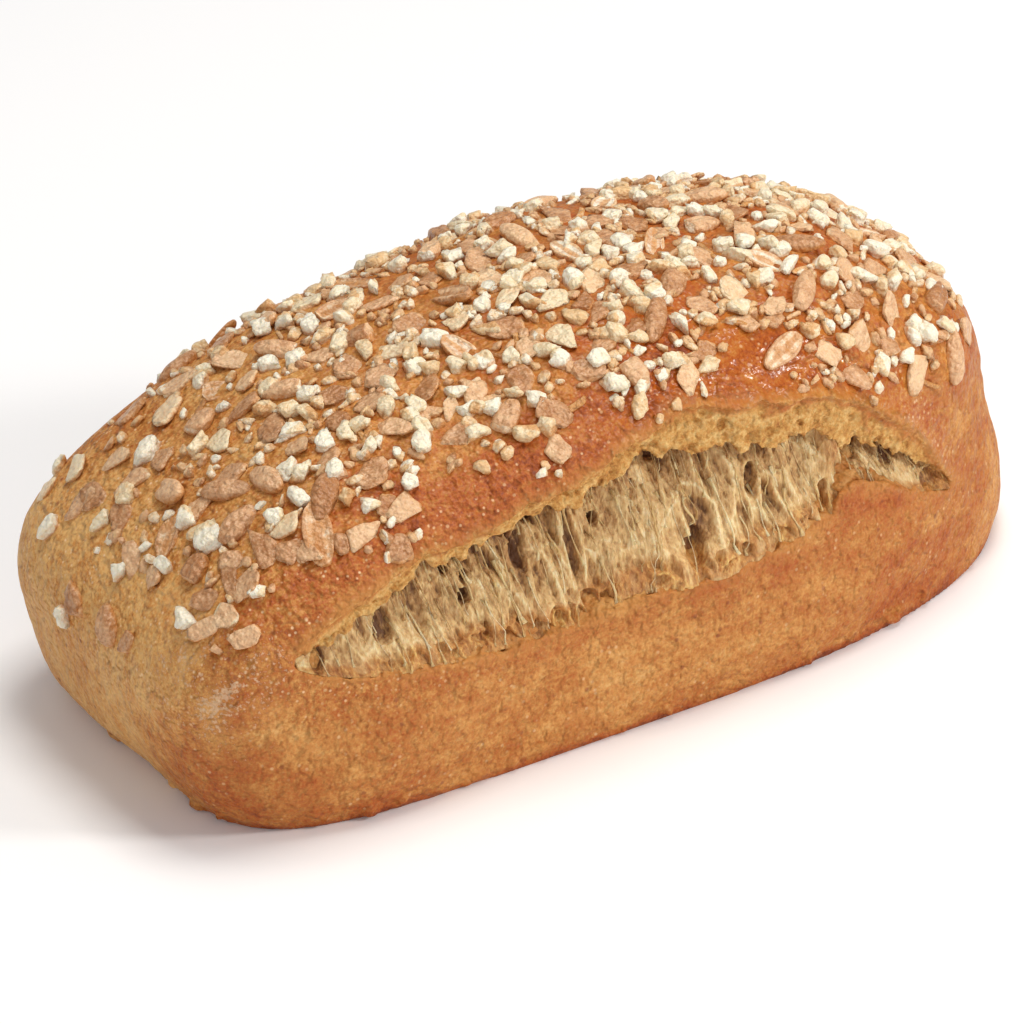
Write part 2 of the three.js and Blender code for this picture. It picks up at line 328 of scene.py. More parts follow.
def vectors_of(made, what):
    """Every point's "co" or "normal", as rows of x, y and z."""
    found = np.empty(len(made.data.vertices) * 3, np.float32)
    made.data.vertices.foreach_get(what, found)
    return found.reshape(-1, 3).astype(float)


def points_of(made):
    return vectors_of(made, "co") / MM


def set_points(made, points):
    made.data.vertices.foreach_set("co", (points * MM).astype(np.float32).ravel())
    made.data.update()


def modify(made, kind, **settings):
    modifier = made.modifiers.new(kind.lower(), kind)
    for key, value in settings.items():
        setattr(modifier, key, value)


def apply_modifiers(made):
    """Leaves the mesh that the modifiers make, and no modifier."""
    shown = made.evaluated_get(bpy.context.evaluated_depsgraph_get())
    baked = bpy.data.meshes.new_from_object(shown)
    made.modifiers.clear()
    old, made.data = made.data, baked
    bpy.data.meshes.remove(old)


def turned_out(made):
    """Turns a closed mesh's faces outwards."""
    work = bmesh.new()
    work.from_mesh(made.data)
    bmesh.ops.recalc_face_normals(work, faces=work.faces)
    work.to_mesh(made.data)
    work.free()
    return made


# %% Grid helpers
def grid_faces(at, side=1):
    """Four-sided faces over a grid of point numbers; side -1 turns them over."""
    ring = [at[:-1, :-1], at[1:, :-1], at[1:, 1:], at[:-1, 1:]][::side]
    return np.stack([corner.ravel() for corner in ring], 1)


def sleeve_faces(stations, rows):
    """Side faces of a closed sleeve of rings of points, and the two faces at its ends."""
    at = np.arange(stations * rows).reshape(stations, rows)
    sides = grid_faces(np.concatenate([at, at[:, :1]], 1))
    return sides, np.stack([at[0], at[-1, ::-1]])


def sleeve(name, rings, **fields):
    """A closed mesh through rings of points that stand side by side."""
    sides, ends = sleeve_faces(*rings.shape[:2])
    faces = [*sides.tolist(), *ends.tolist()]
    return turned_out(new_mesh(name, rings.reshape(-1, 3), faces, **fields))


def box_grid(nx, ny, nz):
    """Points of a cube's surface from -1 to 1 and its four-sided faces, facing out."""
    steps, points, faces, start = (nx, ny, nz), [], [], 0
    for axis in range(3):
        u, v = (axis + 1) % 3, (axis + 2) % 3
        lines = [np.linspace(-1, 1, steps[k] + 1) for k in (u, v)]
        a, b = np.meshgrid(*lines, indexing="ij")
        at = np.arange(a.size).reshape(a.shape)
        for side in (-1, 1):
            sheet = np.empty((a.size, 3))
            sheet[:, axis], sheet[:, u], sheet[:, v] = side, a.ravel(), b.ravel()
            points.append(sheet)
            faces.append(grid_faces(at, side) + start)
            start += a.size
    points = np.round(np.concatenate(points), 6) + 0.0
    kept, same = np.unique(points, axis=0, return_inverse=True)
    return kept, same.ravel()[np.concatenate(faces)]


print("a small grid has", len(box_grid(4, 3, 2)[0]), "points")

# %% [markdown]
# ## Camera, floor and lights
# The camera stands where the photograph was taken from: in front of the burst flank, to its left,
# looking down by 30 degrees from over 80 cm away. The light is that of a small product studio: a
# wide soft box overhead, a weaker one low in front to open the shadows, a small one that glints on
# the glossy shoulder, and a pale room.

# %% Camera
AZIMUTH, ELEVATION, ROLL = (math.radians(angle) for angle in (-30.07, 29.93, 2.29))
CAMERA_DISTANCE = 828.6
PIXELS_PER_MM = 8.44
PICTURE_SIDE = 1024
SENSOR = 36.0
AIM = np.array([CENTRE_X, CENTRE_Y, 22.0])
AIM_PIXEL = np.array([555.06, 454.3])

back = np.array([
    math.sin(AZIMUTH) * math.cos(ELEVATION),
    -math.cos(AZIMUTH) * math.cos(ELEVATION),
    math.sin(ELEVATION),
])
level = np.array([math.cos(AZIMUTH), math.sin(AZIMUTH), 0.0])
upright = np.cross(back, level)
right = math.cos(ROLL) * level - math.sin(ROLL) * upright
upward = math.sin(ROLL) * level + math.cos(ROLL) * upright
off = (AIM_PIXEL - PICTURE_SIDE / 2) / PIXELS_PER_MM
where = AIM + CAMERA_DISTANCE * back - off[0] * right + off[1] * upward


def standing(place, x, y, z):
    """The matrix of something that stands at a place with its own axes in three directions."""
    turn = Matrix(np.stack([x, y, z], 1).tolist()).to_4x4()
    return Matrix.Translation(np.asarray(place, float) * MM) @ turn


camera = bpy.data.objects.new("camera", bpy.data.cameras.new("camera"))
camera.data.sensor_width = SENSOR
camera.data.lens = PIXELS_PER_MM * CAMERA_DISTANCE / PICTURE_SIDE * SENSOR
camera.data.clip_end = 10
camera.matrix_world = standing(where, right, upward, back)
bpy.context.scene.collection.objects.link(camera)
bpy.context.scene.camera = camera
print("lens", round(camera.data.lens, 1), "mm")

# %% Floor
FLOOR_SIDE = 3000.0
FLOOR_STEPS = 12

line = np.linspace(-FLOOR_SIDE / 2, FLOOR_SIDE / 2, FLOOR_STEPS + 1)
across, along = np.meshgrid(line, line, indexing="ij")
floor = new_mesh(
    "floor",
    np.stack([across.ravel(), along.ravel(), np.zeros(across.size)], 1),
    grid_faces(np.arange(across.size).reshape(across.shape)),
)
print("floor", FLOOR_SIDE, "mm wide")

# %% Lights
def tint(red, green, blue):
    """A colour as a screen shows it, 0 to 255, as the linear colour that a shader takes."""
    shown = np.array([red, green, blue]) / 255
    return (*np.where(shown <= 0.04045, shown / 12.92, ((shown + 0.055) / 1.055) ** 2.4), 1.0)


WORLD_STRENGTH = 0.42
ROOM = tint(250, 250, 252)
LIGHT_AIM = np.array([0.0, 0.0, 25.0])
SOFT_BOXES = [  # name, place, size, watts and colour
    ("key", (90, 20, 640), (300, 240), 2.35, tint(255, 252, 246)),
    ("front", (-330, -540, 240), (300, 200), 0.6, tint(255, 252, 248)),
    ("glint", (410, -400, 308), (100, 80), 1.8, tint(255, 252, 248)),
]


def soft_box(name, place, size, watts, colour):
    lamp = bpy.data.lights.new(name, "AREA")
    lamp.shape = "RECTANGLE"
    lamp.size, lamp.size_y = (side * MM for side in size)
    lamp.energy = watts
    lamp.color = colour[:3]
    hung = bpy.data.objects.new(name, lamp)
    way = unit(np.array(place, float) - LIGHT_AIM)
    side = unit(np.cross([0, 0, 1], way))
    hung.matrix_world = standing(place, side, np.cross(way, side), way)
    bpy.context.scene.collection.objects.link(hung)


world = bpy.data.worlds.new("room")
world.use_nodes = True
world.node_tree.nodes["Background"].inputs["Color"].default_value = ROOM
world.node_tree.nodes["Background"].inputs["Strength"].default_value = WORLD_STRENGTH
bpy.context.scene.world = world
bpy.context.scene.view_settings.view_transform = "Standard"
for box in SOFT_BOXES:
    soft_box(*box)

# %% [markdown]
# ## Writing shader sums as sums
# A finish is a web of nodes, but what it says is arithmetic: browning plus a bit of noise, one
# minus a mask. Field wraps a socket so that such sums can be written as they are read, and each
# operator adds its own Math node. Textures, ramps and mixes all come from one method, node.

# %% Field
class Field:
    """One socket of a finish, on which sums can be written."""

    def __init__(self, finish, socket):
        self.finish = finish
        self.socket = socket

    def maths(self, operation, *values):
        return self.finish.node("Math", {"operation": operation}, dict(enumerate(values)))

    def __add__(self, other):
        return self.maths("ADD", self, other)

    def __sub__(self, other):
        return self.maths("SUBTRACT", self, other)

    def __rsub__(self, other):
        return self.maths("SUBTRACT", other, self)

    def __mul__(self, other):
        return self.maths("MULTIPLY", self, other)

    __radd__ = __add__
    __rmul__ = __mul__

    def above(self, low, high):
        """0 below low, 1 above high, smooth between."""
        sockets = {"Value": self, "From Min": low, "From Max": high}
        return self.finish.node("MapRange", {"interpolation_type": "SMOOTHSTEP"}, sockets)


# %% Finish
class Finish:
    """A material made of nodes round one Principled shader."""

    def __init__(self, name, **constants):
        self.material = bpy.data.materials.new(name)
        self.material.use_nodes = True
        self.tree = self.material.node_tree
        self.shader = self.tree.nodes["Principled BSDF"]
        self.set(**constants)
        self.coordinates = self.node("TexCoord", out="Object")

    def node(self, kind, settings=(), sockets=(), out=0):
        made = self.tree.nodes.new("ShaderNode" + kind)
        for key, value in dict(settings).items():
            if key == "stops":
                self.set_stops(made.color_ramp, value)
            else:
                setattr(made, key, value)
        for key, value in dict(sockets).items():
            self.feed(made.inputs[key], value)
        return Field(self, made.outputs[out])

    def feed(self, socket, value):
        if isinstance(value, Field):
            self.tree.links.new(value.socket, socket)
        else:
            socket.default_value = value

    @staticmethod
    def set_stops(ramp, stops):
        while len(ramp.elements) < len(stops):
            ramp.elements.new(0.5)
        for element, (position, colour) in zip(ramp.elements, stops):
            element.position = position
            element.color = colour

    def set(self, **sockets):
        """Feeds sockets of the shader, with _ for the spaces of their names."""
        for socket, value in sockets.items():
            self.feed(self.shader.inputs[socket.replace("_", " ")], value)

    def field(self, name):
        return self.node("Attribute", {"attribute_name": name}, out="Fac")

    def noise(self, size, detail=3.0, roughness=0.55, stretch=(1, 1, 1)):
        where = self.coordinates
        if stretch != (1, 1, 1):
            where = self.node("Mapping", {}, {"Vector": where, "Scale": [1 / s for s in stretch]})
        sockets = {"Vector": where, "Scale": 1 / (size * MM)}
        return self.node("TexNoise", {}, {**sockets, "Detail": detail, "Roughness": roughness})

    def uneven(self, *settings):
        """Noise about zero."""
        return self.noise(*settings) - 0.5

    def pores(self, size, randomness=1.0):
        sockets = {"Vector": self.coordinates, "Scale": 1 / (size * MM), "Randomness": randomness}
        return self.node("TexVoronoi", {}, sockets, "Distance")

    def specks(self, size, randomness, rim, patch, share):
        """Dots round scattered seeds, 0 beyond their rim, in patches."""
        dots = 1 - self.pores(size, randomness).above(*rim)
        return dots * self.noise(patch, 2).above(*share)

    def ramp(self, factor, *stops):
        return self.node("ValToRGB", {"stops": stops}, {"Fac": factor})

    def mix(self, factor, first, second):
        return self.node("Mix", {"data_type": "RGBA"}, {0: factor, 6: first, 7: second}, out=2)

    def bump(self, height, depth):
        self.set(Normal=self.node("Bump", {}, {"Height": height, "Distance": depth * MM}))


def make_floor_finish():
    finish = Finish("pale_floor", Roughness=0.6)
    pale, paler = tint(252, 252, 253), tint(254, 254, 255)
    finish.set(Base_Color=finish.mix(finish.noise(180, 2), pale, paler))
    return finish.material


floor.data.materials.append(make_floor_finish())
print("finish:", floor.data.materials[0].name)

# %% [markdown]
# ## Tearing the crust open
# On the real roll the crust is one skin that split along the flank. Its upper edge curled and
# tore, so below it runs a band of torn dough, then a dark hollow, then the pulled crumb. The shell
# is made first, and a closed tool with that outline in section is cut out of it. The result is
# remeshed to small even faces, because relief needs a mesh that is fine everywhere.

# %% Ragged lips
CRUST_EDGE = [
    (-51, 24.1), (-45, 27.3), (-40, 29.2), (-33, 30.8), (-25.6, 31.8), (-17.3, 33.5),
    (-9.2, 35.1), (-5.8, 36.9), (-0.4, 37.4), (5.2, 37.8), (13, 36), (21.4, 33.8),
    (25.7, 31.8), (30.2, 29.1), (36.5, 23.2), (40.6, 16.7), (42, 14.7),
]
LOWER_RAGS = [(0.35, 1.9, 21), (0.25, 0.8, 22)]
BAND_RAGS = [(0.9, 3.3, 23), (0.8, 1.3, 24)]
EDGE_RAGS = [(0.5, 2.7, 25), (0.3, 0.9, 26)]
BAND_NICK, BAND_NICK_SIZE = 0.35, 0.7
BAND_SHIFT, BAND_SAG, BAND_LEAST = 1.0, 1.9, 0.3
TORN_END, TORN_END_SAG = 25.0, 2.4
STEP_AT, STEP_END, STEP_HEIGHT = 22.8, 39.0, 2.4
STEP_BLUR, STEP_RUN_OUT = 0.8, 13
LEAST_FRAYING = 0.4
UNDERCUT_HEIGHT = 8.0


def lip_step(place):
    """Right of the pillar the lower lip sits higher, and then runs out."""
    risen = STEP_HEIGHT * ease(place, STEP_AT - STEP_BLUR, STEP_AT + STEP_BLUR)
    return risen * ease(STEP_END - place, 0, STEP_RUN_OUT)


def torn_lips(place):
    """Heights of the lower lip, of the torn band's lower edge and of the crust's edge."""
    ends = burst_ends(place)
    low, high = plain_lips(place)
    frayed = np.maximum(ends, LEAST_FRAYING)
    low = low + lip_step(place) + frayed * layered(along_noise, place, LOWER_RAGS)
    opened = np.minimum(1, np.maximum(high - low, 0) / UNDERCUT_HEIGHT)
    sag = BAND_SAG + TORN_END_SAG * ease(place, TORN_END - 3, TORN_END)
    band = height_along(BURST_UPPER_LIP, place - BAND_SHIFT) - sag * opened
    band = band + ends * layered(along_noise, place, BAND_RAGS)
    band = band + ends * BAND_NICK * along_noise(place, BAND_NICK_SIZE, 29)
    edge = height_along(CRUST_EDGE, place) + frayed * layered(along_noise, place, EDGE_RAGS)
    return low, np.minimum(band, edge - BAND_LEAST), edge


print("lower lip, band and edge at the middle:", *torn_lips(middle))

# %% Shell and the tool that opens it
SHELL_FACES = (132, 62, 56)
BURST_DEPTH, BURST_STEP, BURST_UNDERCUT = 5.6, 0.5, 1.6
BAND_DEPTH = 1.9
POCKET, POCKET_RUN = 2.4, 6
ROOF_BEND, BAND_BEND = 1.3, 0.8
TOOL_STATIONS = 280
TOOL_REACH = 7.0
BACK_ROWS, ROOF_ROWS, BAND_ROWS = 24, 9, 9


def crumb_depth(place, share):
    """How far behind the crust the torn crumb lies, between the lips."""
    torn = BURST_DEPTH * np.sin(np.pi / 2 * np.clip(share, 0, 1))
    return burst_ends(place) * (BURST_STEP + torn)


def crumb_height(place, share):
    low, high = plain_lips(place)
    opened = np.minimum(1, (high - low) / UNDERCUT_HEIGHT)
    return low + share * (high - low) + BURST_UNDERCUT * np.maximum(share, 0) ** 2 * opened


def tearing_tool():
    place = np.linspace(BURST_START, BURST_END, TOOL_STATIONS)[:, None]
    low, band, edge = torn_lips(place)
    ends = burst_ends(place)
    share = np.linspace(0, 1, BACK_ROWS)[None, :]
    pocket = POCKET * np.minimum(1, POCKET_RUN * share)
    back_d = crumb_depth(place, share) * (share > 0) + ends * pocket
    back_z = crumb_height(place, share) + (low - plain_lips(place)[0]) * (1 - share)
    t = np.linspace(0, 1, ROOF_ROWS + 1)[None, 1:]
    roof_d = back_d[:, -1:] + t * (ends * BAND_DEPTH - back_d[:, -1:])
    roof_z = back_z[:, -1:] + t**ROOF_BEND * (band - back_z[:, -1:])
    t = np.linspace(0, 1, BAND_ROWS + 1)[None, 1:]
    band_d = ends * BAND_DEPTH * (1 - t) ** BAND_BEND
    band_z = band + t * (edge - band)
    out_d = np.full((TOOL_STATIONS, 2), -TOOL_REACH)
    out_z = np.concatenate([edge, low], 1)
    depth = np.concatenate([back_d, roof_d, band_d, out_d], 1)
    height = np.concatenate([back_z, roof_z, band_z, out_z], 1)
    wide = np.broadcast_to(place, depth.shape)
    return sleeve("tool", np.stack([wide + CENTRE_X, front_y(wide, height) + depth, height], -1))


cube, faces = box_grid(*SHELL_FACES)
crust = new_mesh("crust", swollen(shell_point(cube)), faces)
tool = tearing_tool()
print("shell", len(crust.data.polygons), "faces, tool", len(tool.data.polygons), "faces")

# %% Cut, then remesh evenly
CRUST_VOXEL = 0.3

modify(crust, "BOOLEAN", operation="DIFFERENCE", solver="MANIFOLD", object=tool)
modify(crust, "REMESH", mode="VOXEL", voxel_size=CRUST_VOXEL * MM)
apply_modifiers(crust)
bpy.data.objects.remove(tool)
print("opened crust:", len(crust.data.polygons), "faces")

# %% [markdown]
# ## Relief pressed into the crust
# Baked crust is smooth only from afar: it has slow dimples, fine pimples, pits where bubbles tore
# along the band, and ragged crumbs at the foot where the dough met the tray. All of it is real
# relief, moved along the normals. The mesh is then thinned, which keeps faces where the form bends.

# %% Where on the roll a point is
def crust_places(points):
    """Place along the burst, share of being torn, and the heights of the lower lip and the edge."""
    place, z = points[:, 0] - CENTRE_X, points[:, 2]
    low, _, edge = torn_lips(place)
    depth = points[:, 1] - front_y(place, z)
    across = (points[:, 1] < 0) & (place > BURST_START) & (place < BURST_END)
    torn = ease(depth, 0.15, 0.7) * ease(edge + 0.6 - z, 0, 0.5) * ease(z - low + 0.5, 0, 0.5)
    return place, torn * across, low, edge


def patch(points, **windows):
    """1 in one part of the roll; each window says where, along x, y or z, 0 ends and 1 starts."""
    share = 1.0
    for axis, (nought, full) in windows.items():
        share = share * ease(points[:, "xyz".index(axis)], nought, full)
    return share


def glossy_share(points, edge):
    """1 on the glossy shoulder over the burst, right of its middle, and 0 away from it."""
    x, y, z = points.T
    over = ease(z - edge, -0.5, 1.5) * ease(edge + 13 - z, 0, 5)
    return ease(-y, 4, 14) * over * (0.25 + 0.75 * ease(x, -14, 10)) * ease(50 - x, 0, 12)


print("share of the crust's front half:", patch(np.array([[0.0, -9.0, 30.0]]), y=(-4, -14)))

# %% Press the relief, then thin the mesh
CRUST_TRIANGLES = 190000
CALMING = 0.75
DIMPLE, PIMPLE, RIPPLE, WRINKLE = 0.22, 0.13, 0.12, 0.2
TORN_LUMP, TORN_PIT, TORN_PORE = 0.6, 0.75, 0.25
FOOT_CRUMB = 0.75


def press_relief(made):
    points, normals = points_of(made), vectors_of(made, "normal")
    _, torn, _, edge = crust_places(points)
    z = points[:, 2]
    calm = 1 - CALMING * glossy_share(points, edge)
    near, _, own = pore_noise(points, 1.9, 31)
    pits = ease(0.5 - near, 0, 0.3) * (own > 0.3)
    pores, _, _ = pore_noise(points, 1.0, 32)
    height = DIMPLE * rough_noise(points, 6.5, 33, 3)
    height = height + PIMPLE * calm * rough_noise(points, 1.8, 34, 2)
    height += RIPPLE * (1 - calm) * rough_noise(points, (4.0, 1.6, 1.6), 38, 2)
    wrinkled = patch(points, x=(8, 34), z=(8, 16))
    height += WRINKLE * wrinkled * calm * rough_noise(points, (1.7, 1.7, 7.0), 37, 2)
    lumps = rough_noise(points, (2.2, 2.2, 1.8), 35, 4, 0.6)
    height += torn * (TORN_LUMP * lumps - TORN_PIT * pits)
    height -= TORN_PORE * torn * ease(0.4 - pores, 0, 0.3)
    foot = ease(3.4 - z, 0, 2.4)
    height += FOOT_CRUMB * foot * ease(rough_noise(points, 2.1, 36, 2), 0.12, 0.6)
    height *= ease(z, 0.05, 0.9)
    points += normals * height[:, None]
    points[:, 2] = np.maximum(points[:, 2], 0)
    set_points(made, points)


modify(crust, "SMOOTH", factor=0.5, iterations=3)
apply_modifiers(crust)
press_relief(crust)
crust.data.calc_loop_triangles()
modify(crust, "DECIMATE", ratio=min(1, CRUST_TRIANGLES / len(crust.data.loop_triangles)))
apply_modifiers(crust)
crust.data.shade_smooth()
print("crust relief done,", len(crust.data.polygons), "faces")

# %% [markdown]
# ## Browning, flour and gloss over the crust
# The oven browns what stands out and leaves the rest pale: the shoulder over the burst is reddest,
# the plain end and the middle of the foot are light. A table adds or takes browning in parts of
# the roll; on the crown under the topping its darkening is partly painted shade between the grains.
# Golden rims, flour on the left and gloss on the right shoulder are worked out after it.

# %% Marks over the crust
BROWN_START = 0.49
BROWNING_AND_SHADE = [  # browning, and the part of the roll that gets it
    (0.3, {"z": (1.6, 0.2)}),
    (0.18, {"x": (-40, -54), "z": (16, 7), "y": (-6, -20)}),
    (0.2, {"x": (-44, -56), "y": (-18, -24), "z": (16, 24)}),
    (0.08, {"y": (-4, -14), "x": (-5, 25), "z": (22, 16)}),
    (0.08, {"x": (40, 52), "z": (18, 26)}),
    (-0.1, {"x": (44, 54), "z": (18, 10)}),
    # Browner crown under the topping: partly baking, partly painted shade between the grains.
    (0.1, {"x": (-30, 0), "z": (34, 42)}),
]
FLOUR_AT, FLOUR_REACH = np.array([-56.0, -22.0, 21.0]), np.array([8.0, 8.0, 9.0])
STREAK = np.array(Matrix.Rotation(math.radians(48), 3, "Y"))


def browning(points, shoulder):
    x, y, z = points.T
    corner = patch(points, x=(-40, -54), z=(16, 7), y=(-6, -20))
    plain_end = patch(points, x=(-44, -56), y=(-24, -16)) * (1 - corner)
    top_left = patch(points, x=(10, -30), z=(30, 38)) * (1 - shoulder)
    pale = np.exp(-(((x - 2) / 22) ** 2) - ((z - 8) / 6) ** 2) * ease(-y, 4, 14)
    brown = BROWN_START + 0.24 * shoulder * (1 - 0.9 * ease(x, 22, 42))
    brown = brown - 0.22 * pale - 0.3 * plain_end - 0.12 * top_left
    brown += sum(amount * patch(points, **windows) for amount, windows in BROWNING_AND_SHADE)
    return brown + 0.16 * rough_noise(points, 13.0, 41, 4, 0.6)


def golden_rims(points, place, low, edge):
    """1 where the torn rims above and below the burst have baked golden."""
    z = points[:, 2]
    ragged = 0.9 * rough_noise(points, 2.6, 42, 3)
    over = ease(edge + 2.9 + ragged - z, 0, 3.2) * ease(z - edge + 1.2, 0, 1.2)
    under = ease(z - low + 2.2 + ragged, 0, 2.6) * ease(low + 0.9 - z, 0, 0.9)
    along = ease(place, BURST_START - 2, BURST_START + 3) * ease(BURST_END + 3 - place, 0, 4)
    return patch(points, y=(-4, -14)) * np.maximum(over, 0.75 * under) * along


def mark_crust(made):
    points = points_of(made)
    place, torn, low, edge = crust_places(points)
    z = points[:, 2]
    torn = torn * (1 - 0.6 * ease(low + 3.5 - z, 0, 2.5))
    along = ease(place, BURST_START - 6, BURST_START + 6) * ease(BURST_END + 5 - place, 0, 8)
    over = ease(z - edge + 1.5, 0, 2.5) * ease(edge + 10 - z, 0, 7)
    shoulder = patch(points, y=(-4, -14)) * over * along
    dusted = np.exp(-(((points - FLOUR_AT) / FLOUR_REACH) ** 2).sum(1))
    streaks = 0.55 + 0.9 * rough_noise(points @ STREAK, (1.6, 1.6, 5.0), 43, 4, 0.6)
    write_fields(made.data, {
        "torn": torn,
        "brown": browning(points, shoulder),
        "flour": dusted * streaks,
        "gloss": np.maximum(glossy_share(points, edge), 0.35 * ease(z - edge - 6, 0, 6)),
        "gold": golden_rims(points, place, low, edge) * (1 - torn),
        # speck is strongest on the shoulder, where its pale specks are partly painted glints.
        "speck": np.maximum(patch(points, x=(-16, -36), z=(12, 20)), 0.8 * shoulder) + 0.1,
    })


mark_crust(crust)
print("marks:", [field.name for field in crust.data.attributes if field.domain == "POINT"])

# %% Finish of the crust
def crust_skin(finish, grainy, speckled):
    """Browned skin: a ramp over browning and noise, then rosy smears and three kinds of specks; the
    palest, strongest on the shoulder, are partly painted glints.
    """
    speck = finish.field("speck")
    smeared = finish.uneven(2.6, 4, 0.6, (3.2, 1, 1))
    brown = finish.field("brown") + finish.uneven(15, 3) * 0.4
    brown = brown + finish.uneven(4.6, 4, 0.62) * 0.5 + smeared * 0.75
    brown = brown + grainy * (0.6 + speck * 0.3) + speckled * (0.7 + speck * 0.5)
    skin = finish.ramp(
        brown,
        (0.0, tint(224, 174, 106)),
        (0.28, tint(206, 144, 74)),
        (0.5, tint(184, 114, 48)),
        (0.74, tint(172, 86, 24)),
        (1.0, tint(136, 58, 12)),
    )
    rosy = finish.noise(3.4, 4, 0.65, (2.2, 1, 1)).above(0.54, 0.68)
    bran = finish.specks(1.7, 1.0, (0.1, 0.24), 3.1, (0.5, 0.6))
    meal = finish.specks(1.2, 0.9, (0.1, 0.24), 3.7, (0.48, 0.6))
    # Pale specks, mostly where speck is high: partly pale meal in the crust, partly painted glints
    # on the shoulder.
    sand_and_glint_specks = finish.specks(0.8, 0.9, (0.12, 0.3), 2.2, (0.46, 0.58))
    for share, colour in (
        (rosy * 0.35, tint(196, 120, 56)),
        (bran * 0.6, tint(136, 66, 32)),
        (meal * 0.5, tint(230, 190, 142)),
        (sand_and_glint_specks * speck * 0.75, tint(238, 198, 152)),
    ):
        skin = finish.mix(share, skin, colour)
    return skin


def make_crust_finish():
    finish = Finish(
        "baked_crust",
        Subsurface_Weight=0.05,
        Subsurface_Scale=1.0 * MM,
        Specular_IOR_Level=0.38,
    )
    grainy, speckled = finish.uneven(1.2, 4, 0.7), finish.uneven(0.42, 3, 0.7)
    gold, flour, torn = (finish.field(name) for name in ("gold", "flour", "torn"))
    golden = finish.ramp(
        grainy * 1.6 + speckled + 0.5,
        (0.1, tint(164, 94, 34)),
        (0.5, tint(190, 126, 56)),
        (0.9, tint(216, 166, 96)),
    )
    crumbly = finish.ramp(
        finish.noise(1.5, 4, 0.65) + speckled * 0.7,
        (0.22, tint(160, 98, 42)),
        (0.46, tint(202, 148, 78)),
        (0.75, tint(230, 192, 126)),
    )
    dust = (flour + grainy * 1.8 + speckled * 2.4).above(0.5, 0.85) * flour.above(0.05, 0.3)
    skin = crust_skin(finish, grainy, speckled)
    skin = finish.mix((gold + grainy * 0.8) * gold, skin, golden)
    skin = finish.mix(dust * 0.6, skin, tint(232, 200, 160))
    shiny = finish.noise(5.0, 3, 0.6, (2.0, 1, 1)).above(0.36, 0.52)
    gloss = finish.field("gloss") * (0.3 + 0.7 * shiny)
    finish.set(
        Base_Color=finish.mix(torn, skin, crumbly),
        Roughness=0.6 - 0.37 * gloss + grainy * 0.1 + torn * 0.25,
    )
    fine = finish.noise(0.8, 1, 0.4) + finish.noise(2.4, 2, 0.5) * 1.2
    finish.bump((fine + (1 - finish.pores(1.3)) * 0.5) * (1 - 0.8 * gloss), 0.75)
    return finish.material


add_piece(crust, make_crust_finish())

# %% [markdown]
# ## The pulled crumb
# Between the lips the dough was drawn out like a curtain: soft folds run down from under the upper
# lip, thin strands stand on them, long pores lie between, and small round pits line the lower lip.
# It is one closed sheet whose front is a fine grid. Its relief is worked out along the roll and
# down the tear, so that all of it can be stretched downwards and leant, as plain noise is not.

# %% Folds, strands and pores
FOLDS = [(0.75, (3.4, 13.0), 53), (0.38, (1.7, 7.0), 60)]
LINES = [(0.8, (1.9, 10.0), 54, 0.12), (0.4, (1.0, 6.0), 55, 0.14)]
STREAKS = [(0.6, (0.6, 5.0), 64), (0.5, (0.36, 3.0), 65)]
WANDER, STIRRING = 0.8, 0.35
STRAND_LEAN, LEAN_CHANGE, LEAN_PATCH = 0.15, 0.8, 13.0


def lean_at(place):
    """How far the drawn dough leans along the roll for each millimetre that it drops."""
    return STRAND_LEAN * (1 + LEAN_CHANGE * along_noise(place, LEAN_PATCH, 52))


def drawn(place, drop):
    """Places along and down the tear, leant and wavering as the dough was drawn."""
    wander = WANDER * soft_noise(np.stack([place, drop], -1), (5.0, 6.0), 51)
    return np.stack([place + lean_at(place) * drop + wander, drop], -1)


def strand_lines(at):
    """Thin lines drawn down the tear, more than 0 on a line and 0 beside it."""
    return sum(
        amount * ease(width - abs(soft_noise(at, size, seed)), 0, width)
        for amount, size, seed, width in LINES
    )


def crumb_pores(at, share):
    """Pores, the walls that stand between them, and the toasted rims along the lower lip."""
    near, second, own = pore_noise(at, (2.7, 7.5), 57)
    long_pores = ease(second - near, 0.08, 0.55) * ease(own, 0.2, 0.7) * ease(share, 0.1, 0.35)
    walls = ease(0.1 - second + near, 0, 0.1) * ease(own, 0.1, 0.5)
    stirred = at + STIRRING * np.stack([soft_noise(at, 0.9, seed) for seed in (66, 67)], -1)
    near, second, own = pore_noise(stirred, (1.7, 2.1), 58)
    foot = ease(0.3 - share, 0, 0.2)
    round_pores = ease(second - near, 0.08, 0.5) * (own > 0.25) * foot
    walls = walls * (1 - foot) + 0.5 * foot * ease(0.2 - second + near, 0, 0.2)
    rims = ease(0.45 - second + near, 0, 0.45) * (0.5 + 0.5 * soft_noise(at, 2.3, 68))
    near, _, own = pore_noise(at, (0.75, 1.5), 59)
    small_pores = ease(0.42 - near, 0, 0.25) * (own > 0.5) * (0.4 + 0.6 * ease(share, 0.3, 0.8))
    pores = long_pores + 0.9 * round_pores + 0.5 * small_pores
    return pores, walls, foot * (0.5 + 0.5 * rims)


print("a strand leans by", np.round(lean_at(middle), 3), "mm for each millimetre of drop")

